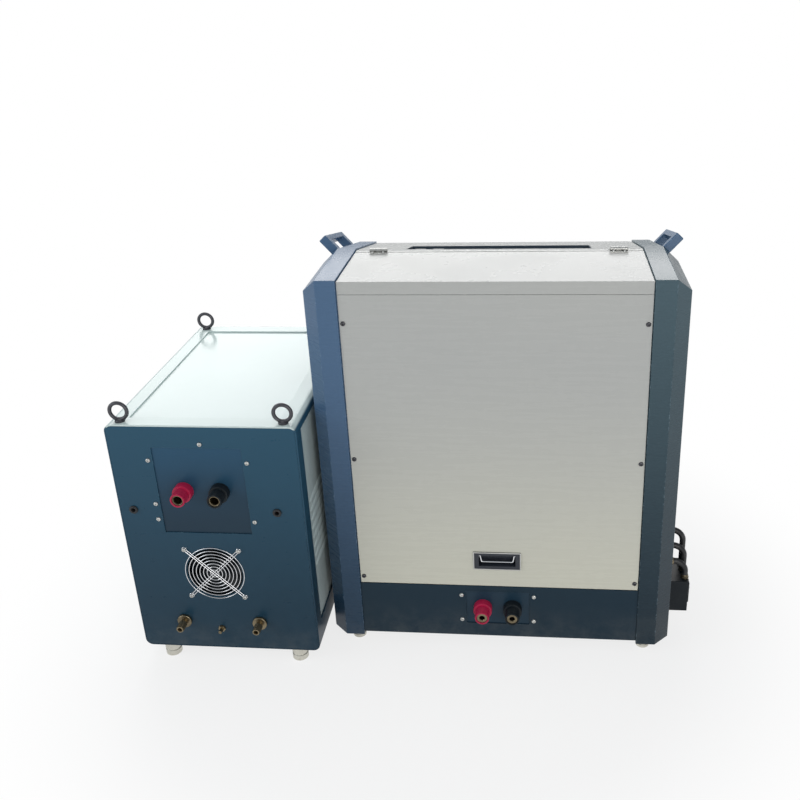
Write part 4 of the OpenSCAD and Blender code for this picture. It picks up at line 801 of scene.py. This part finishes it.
# Reservoir capacitors: drawn aluminium cans with a rolled rim. Each is closed by a black lid and has two
# screw studs.
cans, lids, can_pitch = bmesh.new(), bmesh.new(), 91.2
for i in range(4):
    for z in row_heights:
        at = M((i - 1.5) * can_pitch, 213, z)
        turned(cans, [(0, 0), (36, 0), (38, 2), (38, 101), (36.6, 103), (36.6, 104.5), (38, 106), (38, 109),
                      (37, 110), (35, 110), (35, 107), (0, 107)], at, towards_back, 48)
        turned(lids, [(0, 107), (34.8, 107), (34.8, 108.6), (34, 109), (0, 109)], at, towards_back, 48)
        for u in (-19, 19):
            turned(cans, [(0, 109), (7, 109), (7, 113), (4, 113), (4, 119), (3.2, 120), (0, 120)],
                   at + Vector((u, 0, 0)) * MM, towards_back, 20)
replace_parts(piece("capacitor_cans", cans, aluminium, "alu"), "dc_capacitors")
piece("capacitor_lids", lids, black_plastic, "black_plastic")

# Copper bars, contactor and control board: plain bar stock, a moulded switch with clamp screws,
# and a green board on posts with chips, small capacitors and plugs.
softened("copper_bars", copper, 0.5)
softened("contactor", moulded("contactor_grey", (0.055, 0.058, 0.062), 0.42), 1.0, 2)
clamps = bmesh.new()
for i in (-1, 0, 1):
    for x in (187, 229):
        screw_head(clamps, M(x, 110 + i * 24, 216), up, 4)
piece("contactor_screws", clamps, zinc, "zinc_steel")
board, board_shader, board_at = material("solder_mask", Roughness=0.32)
tracks = board_at.noise(90.0, 2.0, 0.5, (1, 1, 0.2)).band(0.50, 0.54)
feed(board, board_shader, Base_Color=tracks.mix((0.008, 0.085, 0.028), (0.016, 0.150, 0.045)),
     Normal=tracks.bump(0.1, 0.0002))
softened("control_board", board, 0.3, 1)
chips, tins = bmesh.new(), bmesh.new()
for i in range(4):
    for j in range(5):
        x, z = 150 + i * 23, 432 + j * 40
        if (i * 7 + j * 3) % 4:
            made = bmesh.ops.create_cube(chips, size=1)
            bmesh.ops.scale(chips, vec=(14 * MM, 3.2 * MM, (7 + 2 * (i % 2)) * MM), verts=made["verts"])
            bmesh.ops.translate(chips, vec=M(x, 194.6, z), verts=made["verts"])
        else:
            turned(tins, [(0, 0), (5, 0), (5, 11.4), (4.4, 12), (0, 11.8)], M(x, 196, z), towards_front, 24)
bmesh.ops.bevel(chips, geom=chips.edges[:], offset=0.4 * MM, segments=1, profile=0.5, affect="EDGES",
                material=-1)
piece("board_chips", chips, black_plastic, "black_plastic")
piece("board_tins", tins, aluminium, "alu")

# Choke and matching transformer: cores of stacked varnished sheets, under coils of enamelled copper.
# The sheets' edges and the turns of wire show as fine even lines, and each turn is coloured dark in its
# grooves and bright on its crown as painted shade and highlight.
laminated, lam_shader, lam_at = material("laminated_steel", Metallic=0.8)
lam_split = lam_at.node("SeparateXYZ", {0: lam_at}, out=1)
leaf = (lam_split * 2000.0).math("FRACT", lam_split * 2000.0)
rust = lam_at.noise(25.0, 5.0, 0.65).band(0.55, 0.75)
lam_base = (rust * 0.5).mix((0.060, 0.062, 0.068), (0.15, 0.075, 0.035))
feed(laminated, lam_shader, Base_Color=lam_base, Roughness=0.38 + rust * 0.3,
     Normal=leaf.bump(0.25, 0.0003))
softened("choke_core", laminated, 0.5)
softened("transformer_core", laminated, 0.5)
wire, wire_shader, wire_at = material("enamelled_wire", Metallic=0.9)
wire_split = wire_at.node("SeparateXYZ", {0: wire_at}, out=2)
turns = (wire_split * 1571.0).math("SINE", wire_split * 1571.0)
shade = wire_at.noise(14.0, 3.0)
# Painted shade in the grooves between turns and painted highlight on their crowns.
turn_painted_shade = (turns * 0.35 + 0.45).clamp()
feed(wire, wire_shader, Base_Color=turn_painted_shade.mix((0.16, 0.040, 0.012), (0.55, 0.19, 0.07)),
     Roughness=0.26 + shade * 0.2, Normal=turns.bump(0.6, 0.0008))
softened("choke_winding", wire, 9.0, 5)
softened("transformer_windings", wire, 8.0, 5)

# Station case: one folded ring of sheet with rounded long edges, sprayed teal-blue, with pale louvred side
# panels. Its top is coloured pale as a painted reflection on the blue paint, ending under the front's edge;
# the blue and the side panels darken towards the floor as painted shade, and both show dust and handling.
teal, teal_in_painted_shade, pale_teal = (0.024, 0.088, 0.145), (0.006, 0.026, 0.046), (0.62, 0.72, 0.70)
station_blue = painted("station_blue_paint", teal, teal_in_painted_shade, rough=0.28, worn=(0.16, 0.28, 0.36))
station_light = painted("station_light_paint", pale_teal, (0.50, 0.58, 0.58), rough=0.18, dust=0.05,
                        shine=0.4)
case_paint, case_shader, case_at = material("station_case_paint", Specular_IOR_Level=0.25)
case_split = case_at.node("SeparateXYZ", {0: case_at}, out=2)
case_cloud = case_at.noise(3.1, 2.0)
# Painted shade: the case's blue darkens towards the floor, plus a random tone from cloud.
case_shade_and_tone = ((1 - case_split.band(0.02, 0.66)) * 0.9 + (case_cloud - 0.5) * 0.14).clamp()
case_blue = case_shade_and_tone.mix(teal, teal_in_painted_shade)
# Painted reflection: the top face and its upper rounded edge are coloured pale over the blue paint.
top_painted_sheen = case_split.band(0.5125, 0.5165)
feed(case_paint, case_shader, Base_Color=top_painted_sheen.mix(case_blue, pale_teal),
     Roughness=0.30 - top_painted_sheen * 0.12 + (case_cloud - 0.5) * 0.08,
     Normal=case_at.noise(620.0, 2.0, 0.5).bump(0.05, 0.0004))
softened("station_front", station_blue, 0.5)
softened("station_back", station_blue, 0.5)
softened("station_case", case_paint, 0.7)
softened("station_panels", station_light, 0.4)
for side, name in ((1, "right"), (-1, "left")):
    places = [S(side * 173, 110, 199.5 + 20 * i) for i in range(8)]
    piece("station_louvres_" + name, louvre_row(places, 132, 9, 3, side), station_light, "station_light")

# Feet of the station: turned metal discs, larger than the cabinet's and screwed up into the case, with a
# ring let into each.
feet = bmesh.new()
for x in (-130, 130):
    for y in (18, 467):
        turned(feet, [(0, 0), (14, 0), (15.5, 1.5), (15.5, 12), (14.4, 12.8), (14.4, 15), (15.5, 15.8),
                      (15.5, 29), (14.5, 30), (0, 30)], S(x, y, 0), up, 40)
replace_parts(piece("station_turned_feet", feet, foot_metal, "foot_steel"), "station_feet")

# Lifting eyes: forged steel rings, a little longer than wide, each on a round collar and a threaded shank
# that goes through the case's top to its nut.
eyes, rings = bmesh.new(), []
for x in (-150, 150):
    for y in (15, 470):
        foot = S(x, y, 520)
        turned(eyes, [(0, -9), (5, -9), (5, -3), (5, 0), (9, 0), (9, 2.6), (8, 4), (5.6, 5.5), (0, 6)],
               foot, up, 32)
        turned(eyes, [(4.9, -9), (6.3, -9), (6.7, -8.4), (6.7, -3.6), (6.3, -3), (4.9, -3), (4.9, -9)],
               foot, up, 6)
        loop = [foot + Vector((sin(a) * 16, 0, 20 - cos(a) * 16)) * MM
                for a in (2 * pi * i / 40 for i in range(40))]
        rings.append(loop + [loop[0]])
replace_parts(piece("eye_shanks", eyes, dark_steel, "zinc_steel"), "eye_bolts")
tube("eye_rings", rings, 3.5, dark_steel, "zinc_steel", sides=16)

# Hose barbs, earth stud and grommets on the station's front: the barbs and the stud are turned brass with
# nuts behind the sheet, and the grommets are small black rubber bushings.
barbs = bmesh.new()
for x in (-87, 63):
    turned(barbs, [(4, -12), (6.5, -12), (6.5, -2), (11.4, -2), (11.9, -2.5), (11.9, -8), (6.5, -8),
                   (6.5, -8), (6.5, -2), (6.5, 0), (13.2, 0), (14, 0.8), (14, 5.2), (13.2, 6), (6.5, 6),
                   (6.5, 11.9), (8, 12), (6.6, 17.9), (8, 18), (6.6, 23.9), (8, 24), (6.6, 29.4), (5.6, 30),
                   (4.6, 30), (4, 29), (4, -12)], S(x, 0, 94), towards_front, 36)
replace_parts(piece("brass_barbs", barbs, brass, "brass_metal"), "hose_barbs")
stud, stud_at = bmesh.new(), S(-15, 0, 77)
turned(stud, [(0, -6), (3.5, -6), (3.5, 13), (2.8, 14), (0, 14)], stud_at, towards_front, 24)
turned(stud, [(3.4, 0), (7, 0), (7, 0.9), (3.4, 0.9), (3.4, 0)], stud_at, towards_front, 28)
turned(stud, [(3.4, 0.9), (6.4, 0.9), (6.9, 1.3), (6.9, 3.6), (6.4, 4), (3.4, 4), (3.4, 0.9)],
       stud_at, towards_front, 6)
turned(stud, [(3.4, -2), (7, -2), (7, -4), (3.4, -4), (3.4, -2)], stud_at, towards_front, 6)
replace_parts(piece("earth_stud_parts", stud, brass, "brass_metal"), "earth_stud")
rubber = moulded("rubber", (0.016, 0.016, 0.018), 0.6, 0.3)
bushes = bmesh.new()
for x in (-148, 124):
    turned(bushes, [(4, -3.6), (4.6, -4), (7.4, -4), (8, -3.4), (8, -2), (6, -2), (6, 0), (8, 0), (8, 2.4),
                    (6.4, 4), (5, 4), (4, 3), (4, -3.6)], S(x, 0, 344.5), towards_front, 32)
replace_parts(piece("rubber_grommets", bushes, rubber, "black_plastic"), "grommets")

# Capacitor bank and output bars: moulded capacitors joined by copper straps, and two thick copper bars that
# leave the back for the work coil.
softened("capacitor_bank", moulded("bank_grey", (0.085, 0.10, 0.115), 0.42), 2.0, 3)
studs = bmesh.new()
for i in range(4):
    for y in (105, 155):
        turned(studs, [(0, 0), (6.4, 0), (7, 0.6), (7, 4.6), (6.4, 5), (4, 5), (4, 11), (3.4, 12), (0, 12)],
               S((i - 1.5) * 69.4, y, 143), up, 6)
piece("bank_studs", studs, brass, "brass_metal")
softened("output_busbars", copper, 1.0, 2)
